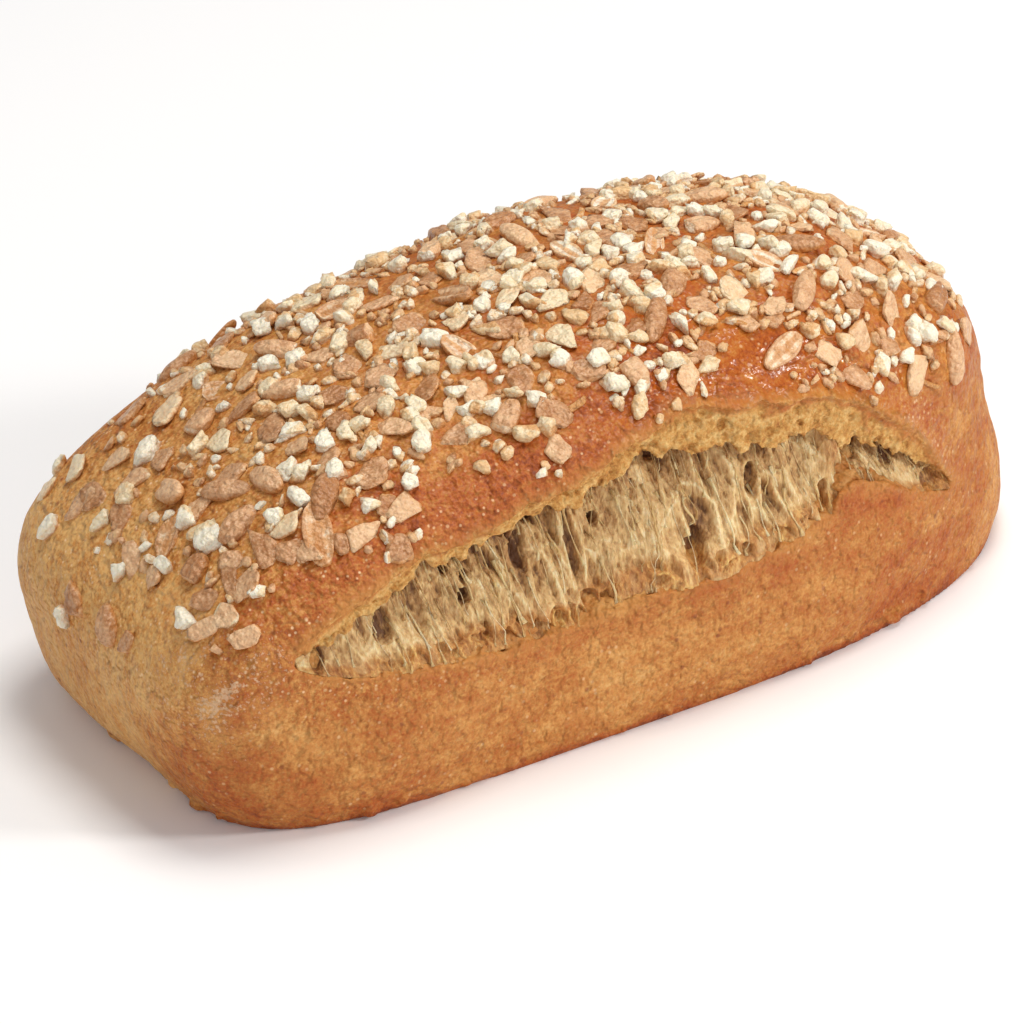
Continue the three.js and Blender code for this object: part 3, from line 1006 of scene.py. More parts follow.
# %% Single holes and the pillar
HOLES = [  # place, height, half width, half length and depth
    (3.0, 20.8, 1.2, 2.3, 3.0), (1.2, 31.4, 1.1, 0.8, 2.0), (-8.5, 26.8, 0.6, 0.9, 2.0),
    (27.3, 24.3, 1.1, 2.1, 3.0), (39.0, 16.2, 1.6, 1.3, 1.8), (21.4, 20.4, 0.9, 2.3, 3.0),
    (-16.8, 29.2, 0.8, 0.7, 1.8), (-20.0, 28.8, 1.1, 0.8, 1.8), (-26.2, 25.3, 0.5, 0.7, 2.2),
    (-26.9, 23.4, 0.7, 0.8, 2.2), (-25.3, 19.2, 0.4, 0.9, 1.8), (-47.2, 22.3, 0.9, 1.3, 2.6),
    (-28.5, 26.9, 0.7, 0.8, 1.6), (-22.4, 16.9, 0.9, 1.1, 1.3), (-29.5, 16.3, 0.9, 0.7, 1.2),
    (-16.5, 17.6, 1.0, 1.5, 1.0), (-38.0, 23.6, 1.2, 1.9, 1.3), (-18.8, 25.8, 0.9, 2.2, 1.3),
    (12.2, 25.8, 0.8, 1.9, 1.2), (33.0, 21.6, 1.3, 1.6, 1.5), (-34.3, 17.6, 0.8, 0.8, 1.2),
]
PILLAR_AT, PILLAR_WIDTH, PILLAR_DEPTH = 23.2, 2.3, 0.9
PILLAR_ROOT = 1.6


def hole_depths(place, height, at):
    ragged = 0.25 * soft_noise(at, (0.9, 1.2), 62)
    depths = np.zeros(place.shape)
    for x, z, wide, long, deep in HOLES:
        across = (place - x - STRAND_LEAN * (height - z)) / wide
        away = np.hypot(across, (height - z) / long) + ragged
        depths = np.maximum(depths, deep * ease(1.2 - away, 0, 0.5))
    return depths


def pillar(place, share):
    """1 on the pillar of dough that bridges the tear, 0 away from it."""
    bent = PILLAR_AT + 1.6 * (share - 0.6) + 0.5 * along_noise(8 * share, 2.0, 61)
    waist = PILLAR_WIDTH * (0.5 + 0.7 * ease(share, 0.3, 1))
    return np.exp(-(((place - bent) / waist) ** 2)) * (0.35 + 0.65 * ease(share, 0.25, 0.6))


print("holes:", len(HOLES))

# %% Relief of the crumb
CRUMB_TUCK = 0.07
FULL_GAP = 11
COTTON, FOLD_START = 0.14, 0.2
DEEPEST_SHARE = 0.92


def crumb_relief(place, share):
    """How far the crumb stands out, how much painted shade its pores and holes get, how much painted
    light its crests get, and how much toast is at each place.
    """
    low, high = plain_lips(place)
    tall = high - low
    at = drawn(place, share * tall)
    folds = layered(soft_noise, at, FOLDS)
    lines, streaks = strand_lines(at), layered(soft_noise, at, STREAKS)
    cotton = COTTON * rough_noise(at, (0.7, 1.3), 56, 4, 0.65)
    pores, walls, rims = crumb_pores(at, share)
    holes = hole_depths(place, crumb_height(place, share), at)
    size = np.minimum(1, np.maximum(tall, 0) / FULL_GAP) * burst_ends(place)
    narrow = ease(-place, 36, 48)
    merge = ease(share, -CRUMB_TUCK, 0.1) * 0.75 + 0.25
    relief = FOLD_START + folds + 0.2 * lines + 0.2 * walls + cotton + 0.13 * streaks - pores
    relief = size * merge * relief
    relief = relief + 0.16 * narrow * merge * (lines + streaks - 1) - np.sqrt(size) * merge * holes
    column = pillar(place, share)
    behind = PILLAR_DEPTH + PILLAR_ROOT * ease(share, 0.55, 0.95)
    forward = crumb_depth(place, share) - behind + 0.35 * rough_noise(at, (1.0, 2.2), 63, 3)
    relief = relief + column * np.maximum(forward - relief, 0)
    toast = np.maximum(0.5 * column, rims)
    right_end = ease(place, 34, 41) * (0.5 + 0.5 * soft_noise(at, 2.0, 69))
    shaded = 0.35 * narrow * (1 - share) + 0.3 * ease(share, 0.45, 0.95) * ease(-place, 0, 14)
    # The colour mask of pores and holes, with the shaded parts added: painted shade in the recesses
    # and at the left end.
    pores = np.clip(pores / 1.3 * size + holes / 1.3 + shaded, 0, 1) * (1 - column)
    # How far lines, streaks, folds and pore walls stand out, used only to lighten the colour:
    # painted light.
    crest = (0.8 * lines + 0.7 * streaks + 0.5 * folds + 1.2 * walls) * (1 - column)
    toast = np.clip(np.maximum(toast, right_end), 0, 1)
    return np.maximum(relief, -POCKET * DEEPEST_SHARE), pores, crest, toast


def crumb_point(place, share, forward):
    """A point of the crumb, standing forward of its even surface by a length."""
    tucked = np.maximum(-share, 0) / CRUMB_TUCK
    height = crumb_height(place, share)
    depth = crumb_depth(place, share) + 1.5 * tucked - forward
    return np.stack([place + CENTRE_X, front_y(place, height) + depth, height], -1)


print("relief at the middle:", crumb_relief(middle, np.array([0.5]))[0], "mm")

# %% The crumb's sheet
CRUMB_STATIONS, CRUMB_ROWS, CRUMB_BACK_ROWS = 520, 140, 10
CRUMB_BACK, POCKET_BEHIND = 2.2, 0.3
START_INSET, END_INSET = 0.5, 0.3


def make_crumb():
    first, last = BURST_START + START_INSET, BURST_END - END_INSET
    stations = np.linspace(first, last, CRUMB_STATIONS)[:, None]
    place, share = np.broadcast_arrays(stations, np.linspace(-CRUMB_TUCK, 1, CRUMB_ROWS)[None, :])
    relief, pores, crest, toast = crumb_relief(place, share)
    front = crumb_point(place, share, relief)
    rows = np.linspace(1, -CRUMB_TUCK, CRUMB_BACK_ROWS + 2)[None, 1:-1]
    place_b, share_b = np.broadcast_arrays(stations, rows)
    thickness = CRUMB_BACK * burst_ends(place_b) + POCKET * POCKET_BEHIND
    behind = crumb_point(place_b, share_b, -thickness)
    none = np.zeros(behind.shape[:2])
    fields = {"pore": pores, "crest": crest, "rise": share, "toast": toast}
    fields = {name: np.concatenate([values, none], 1).ravel() for name, values in fields.items()}
    return sleeve("crumb", np.concatenate([front, behind], 1), **fields)


def make_crumb_finish(name="pulled_crumb", strand=False):
    finish = Finish(
        name,
        Roughness=0.65,
        Subsurface_Weight=0.35,
        Subsurface_Scale=1.4 * MM,
        Subsurface_Radius=(1.0, 0.65, 0.35),
    )
    mottle, fine = finish.uneven(2.6, 3), finish.uneven(0.42, 2, 0.5, (1, 1, 3.5))
    rise = finish.field("rise")
    # Darker towards the top of the tear, on the crumb and its strands alike: painted shade under the
    # overhanging upper lip.
    tone = 0.66 - rise * 0.34 + mottle * 0.6 + fine * 0.7
    if strand:
        tone = tone + finish.field("tone") * 0.4 - 0.2
        baked = 0.5
        toast = (1 - rise * 4.0 + mottle * 1.4).above(0.2, 1.0) * 0.5
    else:
        # Lighter on crests and darker in pores and holes: painted light and painted shade.
        tone = tone + finish.field("crest") * 0.2 - finish.field("pore") * 0.46 - 0.05
        # Crests also turn the toasted colour paler and more golden: painted light.
        baked = 0.36 + finish.field("crest") * 0.22
        toast = (finish.field("toast") + mottle * 0.9 + 0.05).above(0.1, 0.8) * 0.9
    colour = finish.ramp(
        tone,
        (0.0, tint(110, 70, 38)),
        (0.25, tint(180, 134, 80)),
        (0.52, tint(220, 182, 124)),
        (0.85, tint(244, 224, 176)),
    )
    toasted = finish.ramp(
        fine * 1.1 + mottle * 0.8 + baked,
        (0.1, tint(152, 88, 34)),
        (0.5, tint(190, 128, 58)),
        (0.9, tint(232, 188, 108)),
    )
    finish.set(Base_Color=finish.mix(toast, colour, toasted))
    finish.bump(fine + finish.noise(0.8, 1, 0.4), 0.4)
    return finish.material


add_piece(make_crumb(), make_crumb_finish())

# %% [markdown]
# ## Strands across the tear
# The strands that stand free of the crumb are what makes it look pulled and not carved. Each is a
# thin closed tube: it leaves the crumb high up, hangs a little forward, and joins it again lower
# down, thick at both ends and thin between. Some hundreds are worked out at once as one array.

# %% Thin strands
STRANDS, STRAND_SIDES, STRAND_STEPS = 200, 5, 10
STRAND_SEED = 712
HANGING_SHARE = 0.35
PILLAR_CLEAR, PILLAR_STEP = 2.2, 5
LONGEST_GAP = 14
LEAN_SPREAD = 0.09
WAVE = 0.45


def tubes(paths, radii, sides):
    """Closed tubes along many paths: paths is count by steps by 3, radii is count by steps."""
    count, steps, _ = paths.shape
    way = np.gradient(paths, axis=1)
    way = way / np.maximum(np.linalg.norm(way, axis=-1, keepdims=True), TINY)
    first = unit(np.cross(way, np.array([0.0, 1.0, 0.05])))
    other = np.cross(way, first)
    turn = 2 * np.pi * np.arange(sides) / sides
    ring = np.cos(turn)[:, None] * first[:, :, None] + np.sin(turn)[:, None] * other[:, :, None]
    points = paths[:, :, None] + ring * radii[:, :, None, None]
    quads, ends = sleeve_faces(steps, sides)
    start = steps * sides * np.arange(count)[:, None, None]
    faces = (quads[:, [0, 3, 2, 1]] + start).reshape(-1, 4).tolist()
    return points.reshape(-1, 3), faces + (ends[:, ::-1] + start).reshape(-1, sides).tolist()


def make_strands():
    random = np.random.default_rng(STRAND_SEED)
    place = random.uniform(BURST_START + 3, BURST_END - 3, STRANDS)
    place = np.where(abs(place - PILLAR_AT) < PILLAR_CLEAR, place - PILLAR_STEP, place)
    low, high = plain_lips(place)
    tall = high - low
    small = np.clip(tall / LONGEST_GAP, 0.3, 1)
    hanging = random.random(STRANDS) < HANGING_SHARE
    from_top, from_below = random.uniform(0.94, 1.0, STRANDS), random.uniform(0.3, 0.9, STRANDS)
    from_share = np.where(hanging, from_top, from_below)
    to_share = np.clip(from_share - random.uniform(0.15, 0.5, STRANDS), 0.0, 0.75)
    lean = lean_at(place) + random.normal(0, LEAN_SPREAD, STRANDS)
    t = np.linspace(0, 1, STRAND_STEPS)[None, :]
    share = from_share[:, None] + (to_share - from_share)[:, None] * t
    turns = random.uniform(0.7, 2.2, STRANDS)[:, None]
    wave = random.uniform(-WAVE, WAVE, STRANDS)[:, None] * np.sin(np.pi * t * turns)
    along = place[:, None] + (1 - share) * (tall * lean)[:, None] + wave
    along = np.clip(along, BURST_START + 1, BURST_END - 1)
    relief, _, _, _ = crumb_relief(along, share)
    ends = np.sin(np.pi * t)
    bow = random.uniform(0.0, 1.0, STRANDS)[:, None] ** 1.8 * small[:, None] * ends
    forward = np.where(ends > 0.35, np.maximum(relief, -0.2), relief) + bow + 0.1 * ends - 0.06
    thick = (0.05 + 0.13 * random.random(STRANDS) ** 2) * (0.5 + 0.5 * small)
    swelling = 0.75 + 1.6 * (2 * t - 1) ** 4 + 0.3 * np.sin(9 * t + 5 * place[:, None])
    paths = crumb_point(along, share, forward)
    points, faces = tubes(paths, thick[:, None] * swelling, STRAND_SIDES)
    rise = np.repeat(share.ravel(), STRAND_SIDES)
    tone = np.repeat(random.random(STRANDS), STRAND_STEPS * STRAND_SIDES)
    return new_mesh("crumb_strands", points, faces, rise=rise, tone=tone)


add_piece(make_strands(), make_crumb_finish("pulled_strands", strand=True))

# %% [markdown]
# ## Where the topping sticks
# The crown was rolled in cracked and whole grain before baking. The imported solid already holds
# the largest pieces, so the same seeded draw is repeated here, number for number, and then goes on
# to the smaller ones. All tries are worked out at once, and only the picking runs one by one.

# %% The topping's field
TOPPING_EDGE = 0.97
DROP, DROP_GAIN, DROP_FROM, DROP_BLUR = 5.2, 0.62, 16.0, 2.4
RAGGED = [(1.6, 3.1, 0), (1.1, 1.7, 2)]
BARE_END, BARE_END_BLUR, BARE_END_CHANCE = -58.0, 7.0, 0.05
ROUND_END, ROUND_END_BLUR = 53.5, 5.0
STEEP, STEEPEST = 0.7, 0.2
NORMAL_STEP = 0.004


def dome_point(px, py):
    """A point of the crust over a place of the plan, -1 to 1 both ways."""
    n = plan_power(px)
    around = (abs(px) ** n + abs(py) ** n) ** (SQUARE_CROWN / n)
    rise = np.maximum(1 - around, 0) ** (1 / SQUARE_CROWN)
    return swollen(slump(HALF_LENGTH * px, HALF_WIDTH * py, BELLY_HEIGHT + CROWN_RISE * rise))


def over_crown(px, py):
    """The crust's points and normals over places of the plan, and which of them it covers."""
    n, step = plan_power(px), NORMAL_STEP
    along_x = dome_point(px + step, py) - dome_point(px - step, py)
    along_y = dome_point(px, py + step) - dome_point(px, py - step)
    inside = abs(px) ** n + abs(py) ** n <= TOPPING_EDGE
    return dome_point(px, py), unit(np.cross(along_x, along_y)), inside


def topping_chance(at, normal, px):
    crown = slump(HALF_LENGTH * px, 0 * px, FULL_HEIGHT)[..., 2]
    x = at[..., 0]
    ragged = sum(height * np.sin(x / run + shift) for height, run, shift in RAGGED)
    reach = DROP + DROP_GAIN * np.maximum(x - DROP_FROM, 0) + ragged
    covered = np.clip((reach - (crown - at[..., 2])) / DROP_BLUR + 0.5, 0, 1)
    bare_end = np.clip((x - BARE_END) / BARE_END_BLUR, BARE_END_CHANCE, 1)
    round_end = np.clip((ROUND_END - x) / ROUND_END_BLUR, 0, 1)
    lying = np.minimum(STEEP / np.maximum(normal[..., 2], STEEPEST), 1)
    return covered * bare_end * round_end * lying


spot, normal, _ = over_crown(np.zeros(1), np.zeros(1))
print("chance of a piece on the crown:", topping_chance(spot, normal, np.zeros(1)))

# %% The seeded draw
TOPPING_SEED = 20417
TOPPING_PIECES, TOPPING_FUSED, TOPPING_TRIES = 760, 196, 60
TOPPING_GAP, SMALL_GAP = 0.95, 0.5
TILT = 0.35
KINDS = [  # kind, share of pieces up to it, and ranges of length, width and thickness
    ("kernel", 0.08, (5.0, 7.4), (2.5, 3.2), (1.9, 2.4)),
    ("flake", 0.44, (2.9, 5.5), (2.3, 3.7), (1.0, 1.5)),
    ("kibble", 1.0, (2.1, 4.1), (1.8, 3.0), (1.6, 2.5)),
]
SIZES = ("length", "width", "thick")


def random_stream(seed):
    """Numbers from 0 to 1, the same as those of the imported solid's source."""
    state = seed & MASK
    while True:
        state = (state + 0x6D2B79F5) & MASK
        mixed = ((state ^ (state >> 15)) * (1 | state)) & MASK
        mixed = ((mixed + (((mixed ^ (mixed >> 7)) * (61 | mixed)) & MASK)) & MASK) ^ mixed
        yield (mixed ^ (mixed >> 14)) / WHOLE


def sorted_pieces(stream):
    """Sizes of all the pieces, largest first."""
    pieces = []
    for i in range(TOPPING_PIECES):
        kind, _, *ranges = next(k for k in KINDS if (i + 0.5) / TOPPING_PIECES < k[1])
        piece = {"kind": kind}
        for size, (least, most) in zip(SIZES, ranges):
            piece[size] = least + (most - least) * next(stream)
        piece["turn"] = 2 * math.pi * next(stream)
        piece["tilt"] = (2 * next(stream) - 1) * TILT
        piece["seed"] = int(next(stream) * 1e6) + 1
        pieces.append(piece)
    return sorted(pieces, key=lambda piece: -piece["length"] * piece["width"])


def scatter_topping():
    stream = random_stream(TOPPING_SEED)
    pieces = sorted_pieces(stream)
    tries = TOPPING_PIECES * TOPPING_TRIES
    draws = np.array([next(stream) for _ in range(3 * tries)]).reshape(-1, 3)
    px, py = 2 * draws[:, 0] - 1, 2 * draws[:, 1] - 1
    at, normal, inside = over_crown(px, py)
    fits = inside & (draws[:, 2] <= topping_chance(at, normal, px))
    placed, spots, lengths, here = [], np.zeros((0, 3)), np.zeros(0), -1
    for piece in pieces:
        for _ in range(TOPPING_TRIES):
            here += 1
            if not fits[here]:
                continue
            share = TOPPING_GAP if len(placed) < TOPPING_FUSED else SMALL_GAP
            away = np.linalg.norm(spots - at[here], axis=1)
            if (away < share * 0.5 * (lengths + piece["length"])).any():
                continue
            placed.append({**piece, "at": at[here], "normal": normal[here]})
            spots = np.vstack([spots, at[here]])
            lengths = np.append(lengths, piece["length"])
            break
    return placed


placed = scatter_topping()
print("topping pieces placed:", len(placed))

# %% Thin out the plain end
THIN_SEED = 70
THIN_FROM, THIN_TO, THIN_SHARE = 5.0, -35.0, 0.45
END_THIN_FROM, END_THIN_TO, END_THIN_SHARE = -34, -42, 0.3
THIN_PATCH, PATCHINESS = 9.0, 0.5


def thinned(pieces, random):
    """Leaves out some of the small pieces towards the plain end, in patches."""
    at = np.array([piece["at"] for piece in pieces])
    share = 1 - THIN_SHARE * patch(at, x=(THIN_FROM, THIN_TO))
    share = share + PATCHINESS * rough_noise(at, THIN_PATCH, 71, 2)
    share -= END_THIN_SHARE * patch(at, x=(END_THIN_FROM, END_THIN_TO))
    return [piece for piece, kept in zip(pieces, random.random(len(pieces)) < share) if kept]


fused = placed[:TOPPING_FUSED]
loose = thinned(placed[TOPPING_FUSED:], np.random.default_rng(THIN_SEED))
print("pieces kept:", len(fused), "fused and", len(loose), "loose")

# %% [markdown]
# ## Pieces that stand alone
# At the plain end the grain thins out, and each piece there catches the eye: a split kernel on its
# back, curled husks, a few white bits down the end wall. A seeded draw can't know them, so each has
# a line of its own: where it lies, its kind and size, and how far it is turned.

# %% Lone pieces at the plain end
LONE = [  # x, y, z, kind, length, width, thickness, turn in degrees and seed
    (-41.4, -20.4, 34.9, "kernel", 8.4, 3.6, 2.6, 67, 2),
    (-45.0, -7.2, 35.6, "kernel", 6.2, 2.9, 2.0, -48, 1),
    (-46.6, -17.6, 33.6, "flake", 5.6, 3.4, 1.3, 57, 11),
    (-44.7, -20.2, 33.7, "flake", 3.4, 2.9, 1.0, 28, 12),
    (-49.9, -11.8, 32.4, "kibble", 4.8, 3.8, 2.6, 6, 13),
    (-49.9, -5.4, 32.7, "kibble", 3.1, 2.8, 2.2, 55, 14),
    (-47.7, 8.2, 33.7, "kibble", 4.4, 3.4, 2.4, 40, 15),
    (-54.1, -7.8, 29.3, "kibble", 2.7, 2.0, 1.6, -89, 16),
    (-55.8, -16.1, 27.0, "kibble", 3.0, 2.9, 2.2, 48, 17),
    (-54.9, -19.3, 27.1, "flake", 5.2, 2.6, 1.6, -16, 18),
    (-52.7, -23.1, 26.7, "flake", 4.1, 2.5, 1.6, -24, 19),
    (-57.0, -2.0, 26.5, "kibble", 2.7, 2.0, 2.0, -13, 20),
    (-60.2, 3.5, 21.0, "flake", 4.8, 3.0, 2.4, 57, 21),
    (-60.8, 5.3, 18.0, "kibble", 3.0, 2.1, 2.4, 41, 22),
    (-59.9, -4.3, 21.5, "kernel", 5.0, 2.8, 2.8, 37, 4),
    (-60.1, -8.9, 21.2, "flake", 3.0, 1.8, 1.7, -14, 24),
    (-58.0, 12.9, 25.3, "kibble", 3.6, 2.1, 2.2, 8, 25),
    (-54.0, 9.7, 29.5, "flake", 4.4, 3.4, 1.2, 84, 26),
    (-33.9, -20.7, 36.6, "kibble", 2.4, 2.3, 1.8, -26, 27),
    (-32.8, -21.7, 36.1, "flake", 3.4, 2.3, 0.9, 48, 28),
    (-39.4, -22.7, 34.1, "flake", 2.9, 2.0, 1.1, 79, 29),
    (-51.4, -18.1, 30.5, "flake", 4.4, 2.1, 0.9, 57, 30),
    (-49.7, -21.1, 30.5, "kibble", 2.4, 1.9, 1.5, -10, 31),
]
LONE_REACH = 2.0
LONE_TILT = 0.08
LONE_TONE = {"kibble": 0.12, "flake": 0.8, "kernel": 0.6}
GAP_TO_FUSED, GAP_TO_LONE = 0.16, 0.42


def lone_pieces(points, normals):
    """Each lone piece at the crust point next to its place, facing as the crust does round it."""
    made = []
    for x, y, z, kind, *sizes, turn, seed in LONE:
        at = points[np.argmin(np.linalg.norm(points - np.array([x, y, z]), axis=1))]
        facing = normals[np.linalg.norm(points - at, axis=1) < LONE_REACH].sum(0)
        piece = {"kind": kind, **dict(zip(SIZES, sizes)), "tone": LONE_TONE[kind], "seed": seed}
        lie = {"turn": math.radians(turn), "tilt": LONE_TILT, "at": at, "normal": unit(facing)}
        made.append({**piece, **lie})
    return made


def spots_of(pieces):
    return np.array([p["at"] for p in pieces]), np.array([p["length"] for p in pieces])


def clear_of(pieces, others, gap):
    """The pieces that keep a gap, a share of both lengths, to all the others."""
    spots, lengths = spots_of(others)
    away = [np.linalg.norm(spots - piece["at"], axis=1) for piece in pieces]
    return [p for p, far in zip(pieces, away) if (far >= gap * (lengths + p["length"])).all()]


lone = lone_pieces(points_of(crust), vectors_of(crust, "normal"))
lone = clear_of(lone, fused, GAP_TO_FUSED)
topping = fused + lone + clear_of(loose, lone, GAP_TO_LONE)
print("lone pieces:", len(lone), "of", len(LONE), "and", len(topping), "in all")

# %% [markdown]
# ## Shaping one piece of grain
# Cracked grain breaks along flat faces with worn edges. A good quick recipe is to push a ball
# outwards until it meets a few random planes, softened so that the edges are slightly rounded, and
# to press a dent or two into it. A whole kernel is an oval with a crease down its back, and a split
# one shows its flat white inside. A piece lies in a unit box until it is given its size.

# %% Ways to shape a ball
DENT_SPREAD = 0.2


def cleaved(ball, planes, sharp):
    """A ball pushed out to planes, each a direction and a distance; edges are slightly round."""
    reach = np.maximum(ball @ unit(np.array([p[:3] for p in planes])).T, 1e-3)
    reach = reach / np.array([p[3] for p in planes])
    return ball * ((reach**sharp).sum(1) ** (-1 / sharp))[:, None]


def dented(ball, shape, random, count, deep):
    for _ in range(count):
        way = unit(random.normal(0, 1, 3))
        near = np.exp(-((ball - way) ** 2).sum(1, keepdims=True) / DENT_SPREAD)
        shape = shape * (1 - deep * random.uniform(0.3, 1) * near)
    return shape


def roughened(shape, random, amount, size):
    at = shape + random.uniform(0, 50)
    return shape + amount * np.stack([rough_noise(at + 9 * k, size, k, 2) for k in range(3)], 1)


def fitted(shape):
    """The same shape, filling half a unit each way."""
    low, high = shape.min(0), shape.max(0)
    return (shape - (low + high) / 2) / (high - low)


def ring_planes(random, count, low, high):
    start = random.uniform(0, 2 * np.pi)
    turns = start + (np.arange(count) + random.uniform(-0.3, 0.3, count)) * 2 * np.pi / count
    return [
        (math.cos(a), math.sin(a), random.uniform(-0.25, 0.3), random.uniform(low, high))
        for a in turns
    ]


print("a ring of planes:", len(ring_planes(np.random.default_rng(0), 4, 0.3, 0.5)))

# %% Recipes: each gives a shape and how much of its skin is bran
SPLIT_SHARE, BROKEN_SHARE = 0.35, 0.4
KIBBLE_BRAN_SHARE, FLAKE_BRAN_SHARE = 0.55, 0.75
KERNEL_POWER = 2.6


def kibble_shape(ball, random):
    """A cracked white piece."""
    planes = [(0, 0, 1, random.uniform(0.42, 0.5)), (0, 0, -1, 0.5)]
    planes += ring_planes(random, random.integers(3, 6), 0.34, 0.5)
    planes += [(*random.normal(0, 1, 3), random.uniform(0.36, 0.56)) for _ in range(5)]
    shape = dented(ball, cleaved(ball, planes, random.uniform(10, 20)), random, 3, 0.34)
    shape = roughened(shape, random, 0.1, 0.3)
    face = unit(random.normal(0, 1, 3))
    bran = ease(shape @ face, 0.2, 0.34) * (random.random() < KIBBLE_BRAN_SHARE)
    return fitted(shape), bran


def flake_shape(ball, random):
    """A flat chip of husk and outer grain, curled."""
    planes = [(0, 0, 1, 0.3), (0, 0, -1, 0.3)]
    planes += ring_planes(random, random.integers(4, 7), 0.34, 0.5)
    x, y, z = fitted(roughened(cleaved(ball, planes, 12), random, 0.09, 0.35)).T
    curl = random.uniform(-0.3, 0.9)
    z = 0.6 * z + (curl * (x**2 + 0.4 * y**2) - 0.08 * curl)
    bran = ease(z - curl * x**2, -0.1, 0.2) * (random.random() < FLAKE_BRAN_SHARE)
    return np.stack([x, y, z], 1), bran


def kernel_shape(ball, random):
    """A whole, broken or split kernel."""
    rounded = (abs(ball) ** KERNEL_POWER).sum(1, keepdims=True) ** (-1 / KERNEL_POWER)
    x, y, z = (0.5 * ball * rounded).T
    narrow = 1 - 0.3 * ease(x * 2, -0.1, 1.1) - 0.12 * ease(-x * 2, 0.2, 1)
    y, z = y * narrow, z * narrow
    bran = np.ones(len(x))
    if random.random() < SPLIT_SHARE:
        top = random.uniform(0.02, 0.2)
        z = np.where(z > top, top + (z - top) * 0.12, z)
        inner = ease(z, top - 0.04, top + 0.06) * ease(0.4 - abs(y) / narrow, 0, 0.08)
        z = z - 0.12 * inner
        bran = 1 - inner * ease(abs(y) / narrow, 0.05, 0.16)
    if random.random() < BROKEN_SHARE:
        over = np.maximum(x - random.uniform(0.1, 0.32), 0)
        x = x - 0.85 * over
        bran = bran * (1 - ease(over, 0, 0.06))
    crease = np.exp(-((y / 0.07) ** 2)) * ease(z, 0, 0.15) * ease(0.46 - abs(x), 0, 0.1)
    shape = np.stack([x, y, z - 0.16 * crease], 1)
    return roughened(shape, random, 0.045, 0.28), np.clip(bran - 0.3 * crease, 0, 1)


def sliver_shape(ball, random):
    """A thin curved shaving of husk."""
    planes = [
        (0, 0, 1, 0.5), (0, 0, -1, 0.5), (0, 1, 0, 0.5),
        (0, -1, 0.1, 0.5), (1, 0.4, 0, 0.5), (-1, 0.3, 0, 0.5),
    ]
    x, y, z = roughened(cleaved(ball, planes, 8), random, 0.08, 0.4).T
    y = y + random.uniform(-1.2, 1.2) * x**2
    z = z + random.uniform(-1.5, 1.5) * x**2
    return np.stack([x, y, z], 1), np.ones(len(x))


print("recipes for kibble, flakes, kernels and slivers")

# %% Laying the pieces down
SINK_SHARE = 0.4
SIDEWAYS_TILT = 0.6


def turned(angle, first, second):
    """The matrix that turns one axis towards another."""
    made = np.eye(3)
    made[first, first] = made[second, second] = math.cos(angle)
    made[second, first], made[first, second] = math.sin(angle), -math.sin(angle)
    return made


def settle(piece, shape):
    """A shape given its size, tilted, turned and stood on the crust, into which it sinks a bit."""
    nx, ny, nz = piece["normal"]
    over = np.array([[0, 0, nx], [0, 0, ny], [-nx, -ny, 0]])
    stand = np.eye(3) + over + over @ over / (1 + nz)
    tilted = stand @ turned(piece["tilt"], 1, 2) @ turned(SIDEWAYS_TILT * piece["tilt"], 2, 0)
    sized = shape * np.array([piece[size] for size in SIZES])
    risen = piece["normal"] * piece["thick"] * (0.5 - SINK_SHARE)
    return sized @ (tilted @ turned(piece["turn"], 0, 1)).T + piece["at"] + risen


def make_grains(name, pieces, grid, shaper):
    cube, faces = box_grid(*grid)
    ball = unit(cube)
    parts = {"points": [], "faces": [], "bran": [], "tone": [], "root": []}
    for piece in pieces:
        random = np.random.default_rng(piece["seed"])
        shape, bran = shaper(ball, random)
        parts["faces"].append(faces + len(ball) * len(parts["points"]))
        parts["points"].append(settle(piece, shape))
        parts["bran"].append(bran)
        # The root, the low part of each piece, is where the amber glaze and painted warm shade go.
        parts["root"].append(ease(0.3 - shape[:, 2], 0, 0.45))
        parts["tone"].append(np.full(len(ball), piece.get("tone", random.random())))
    joined = {key: np.concatenate(value) for key, value in parts.items()}
    return new_mesh(name, joined.pop("points"), joined.pop("faces"), **joined)


def of_kind(kind):
    return [piece for piece in topping if piece["kind"] == kind]


print("pieces of each kind:", {kind: len(of_kind(kind)) for kind, *_ in KINDS})

# %% [markdown]
# ## Chips, slivers and the finishes of the grain
# Between the larger pieces lie the fine leavings of the mill: chips of a millimetre or two and thin
# shavings of husk. They are strewn by the same rule, from a draw of their own. White pieces are the
# starchy inside and let light in a little; tan ones are outer grain, rosier and duller.

# %% Strew the fine leavings
FINE_REACH, FINE_TRIES = 1.6, 40
COVERED_SHARE = 0.4
CHIPS = {"count": 1200, "length": (0.8, 2.3), "width": (0.7, 1.8), "thick": (0.6, 1.4)}
SLIVERS = {"count": 90, "length": (2.2, 4.4), "width": (0.5, 0.9), "thick": (0.3, 0.5)}


def strew_fine(lean, seed, count, **ranges):
    """Small pieces at random places of the topping's field, none inside a larger one."""
    random = np.random.default_rng(seed)
    px, py = random.uniform(-1, 1, (2, FINE_TRIES * count))
    at, normal, inside = over_crown(px, py)
    lowered = at + np.array([0, 0, FINE_REACH])
    found = inside & (random.random(FINE_TRIES * count) <= topping_chance(lowered, normal, px))
    spots, lengths = spots_of(topping)
    ranges = {**ranges, "turn": (0, 2 * math.pi), "tilt": (-lean, lean)}
    pieces = []
    for i in np.flatnonzero(found):
        if len(pieces) == count:
            break
        if (np.linalg.norm(spots - at[i], axis=1) < COVERED_SHARE * lengths).any():
            continue
        piece = {key: random.uniform(*span) for key, span in ranges.items()}
        piece["seed"] = int(random.integers(1, 10**6))
        pieces.append({**piece, "at": at[i], "normal": normal[i]})
    return thinned(pieces, random)


chips = strew_fine(lean=0.6, seed=95, **CHIPS)
slivers = strew_fine(lean=0.25, seed=96, **SLIVERS)
print("chips:", len(chips), "slivers:", len(slivers))

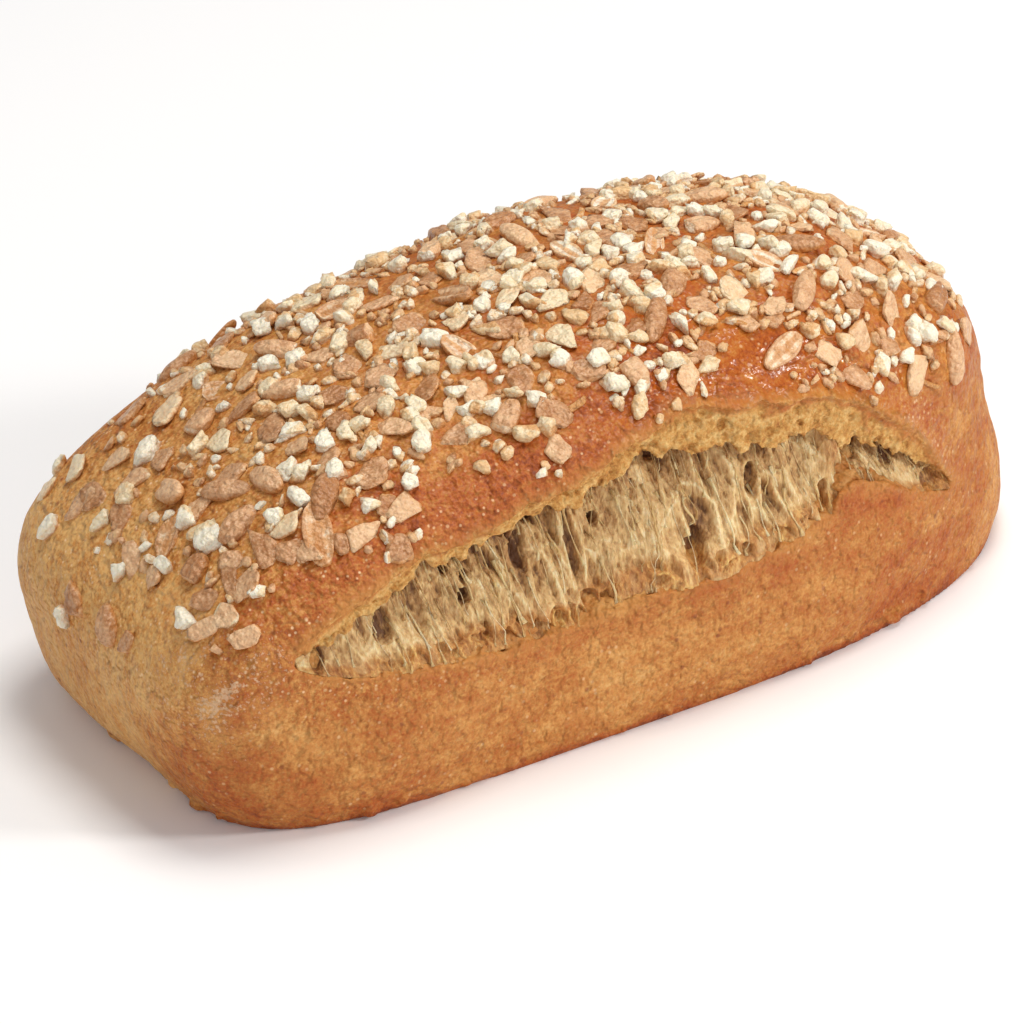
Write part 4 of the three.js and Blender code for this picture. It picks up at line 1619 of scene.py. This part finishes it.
# %% Finish and add all the grain
WHITE, IVORY, CREAM = tint(243, 234, 212), tint(236, 217, 180), tint(224, 184, 132)
PEACH, ROSY = tint(230, 190, 146), tint(212, 164, 120)
HUSK, DARK_HUSK, PALE_HUSK = tint(204, 150, 94), tint(172, 114, 66), tint(206, 148, 82)
AMBER_GLAZE_AND_WARM_SHADE = tint(200, 134, 68)
CHIP_GRID, KERNEL_GRID, FINE_GRID, SLIVER_GRID = (6, 6, 5), (13, 7, 6), (3, 3, 3), (8, 2, 2)
GRAINS = [  # piece, its parts, their grid and recipe, and the finish with its four colours
    ("white_kibble", of_kind("kibble"), CHIP_GRID, kibble_shape,
     ("white_grain", WHITE, IVORY, CREAM, HUSK)),
    ("tan_flakes", of_kind("flake"), CHIP_GRID, flake_shape,
     ("tan_grain", IVORY, PEACH, ROSY, DARK_HUSK)),
    ("whole_kernels", of_kind("kernel"), KERNEL_GRID, kernel_shape,
     ("kernel_skin", WHITE, PEACH, ROSY, DARK_HUSK)),
    ("fine_chips", chips, FINE_GRID, kibble_shape,
     ("chip_grain", WHITE, CREAM, ROSY, DARK_HUSK)),
    ("husk_slivers", slivers, SLIVER_GRID, sliver_shape,
     ("husk", CREAM, PEACH, PALE_HUSK, DARK_HUSK)),
]


def make_grain_finish(name, white, cream, husk, dark):
    finish = Finish(
        name,
        Roughness=0.4,
        Subsurface_Weight=0.14,
        Subsurface_Scale=0.7 * MM,
        Subsurface_Radius=(1.0, 0.7, 0.4),
    )
    bran, root, tone = (finish.field(name) for name in ("bran", "root", "tone"))
    mottle, fine = finish.uneven(1.5, 3, 0.6), finish.uneven(0.5, 4, 0.7)
    flesh_tone, skin_tone = tone + mottle * 0.9 + fine * 1.2, tone + mottle * 1.3 + fine * 1.6
    flesh = finish.ramp(flesh_tone, (0.1, white), (0.58, cream), (0.98, husk))
    skin = finish.ramp(skin_tone, (0.0, cream), (0.45, husk), (1.15, dark))
    colour = finish.mix((bran + mottle * 0.7).above(0.25, 0.75), flesh, skin)
    # Amber at each piece's root, where it meets the crust: partly glaze stuck there, partly painted
    # warm shade from the crust below.
    glaze_and_warm_shade = (root + mottle * 1.4 + fine * 0.8).above(0.3, 1.0)
    finish.set(Base_Color=finish.mix(glaze_and_warm_shade * 0.75, colour, AMBER_GLAZE_AND_WARM_SHADE))
    finish.bump(finish.noise(0.7, 1.5, 0.5), 0.6)
    return finish.material


for name, pieces, grid, shaper, finish in GRAINS:
    add_piece(make_grains(name, pieces, grid, shaper), make_grain_finish(*finish))
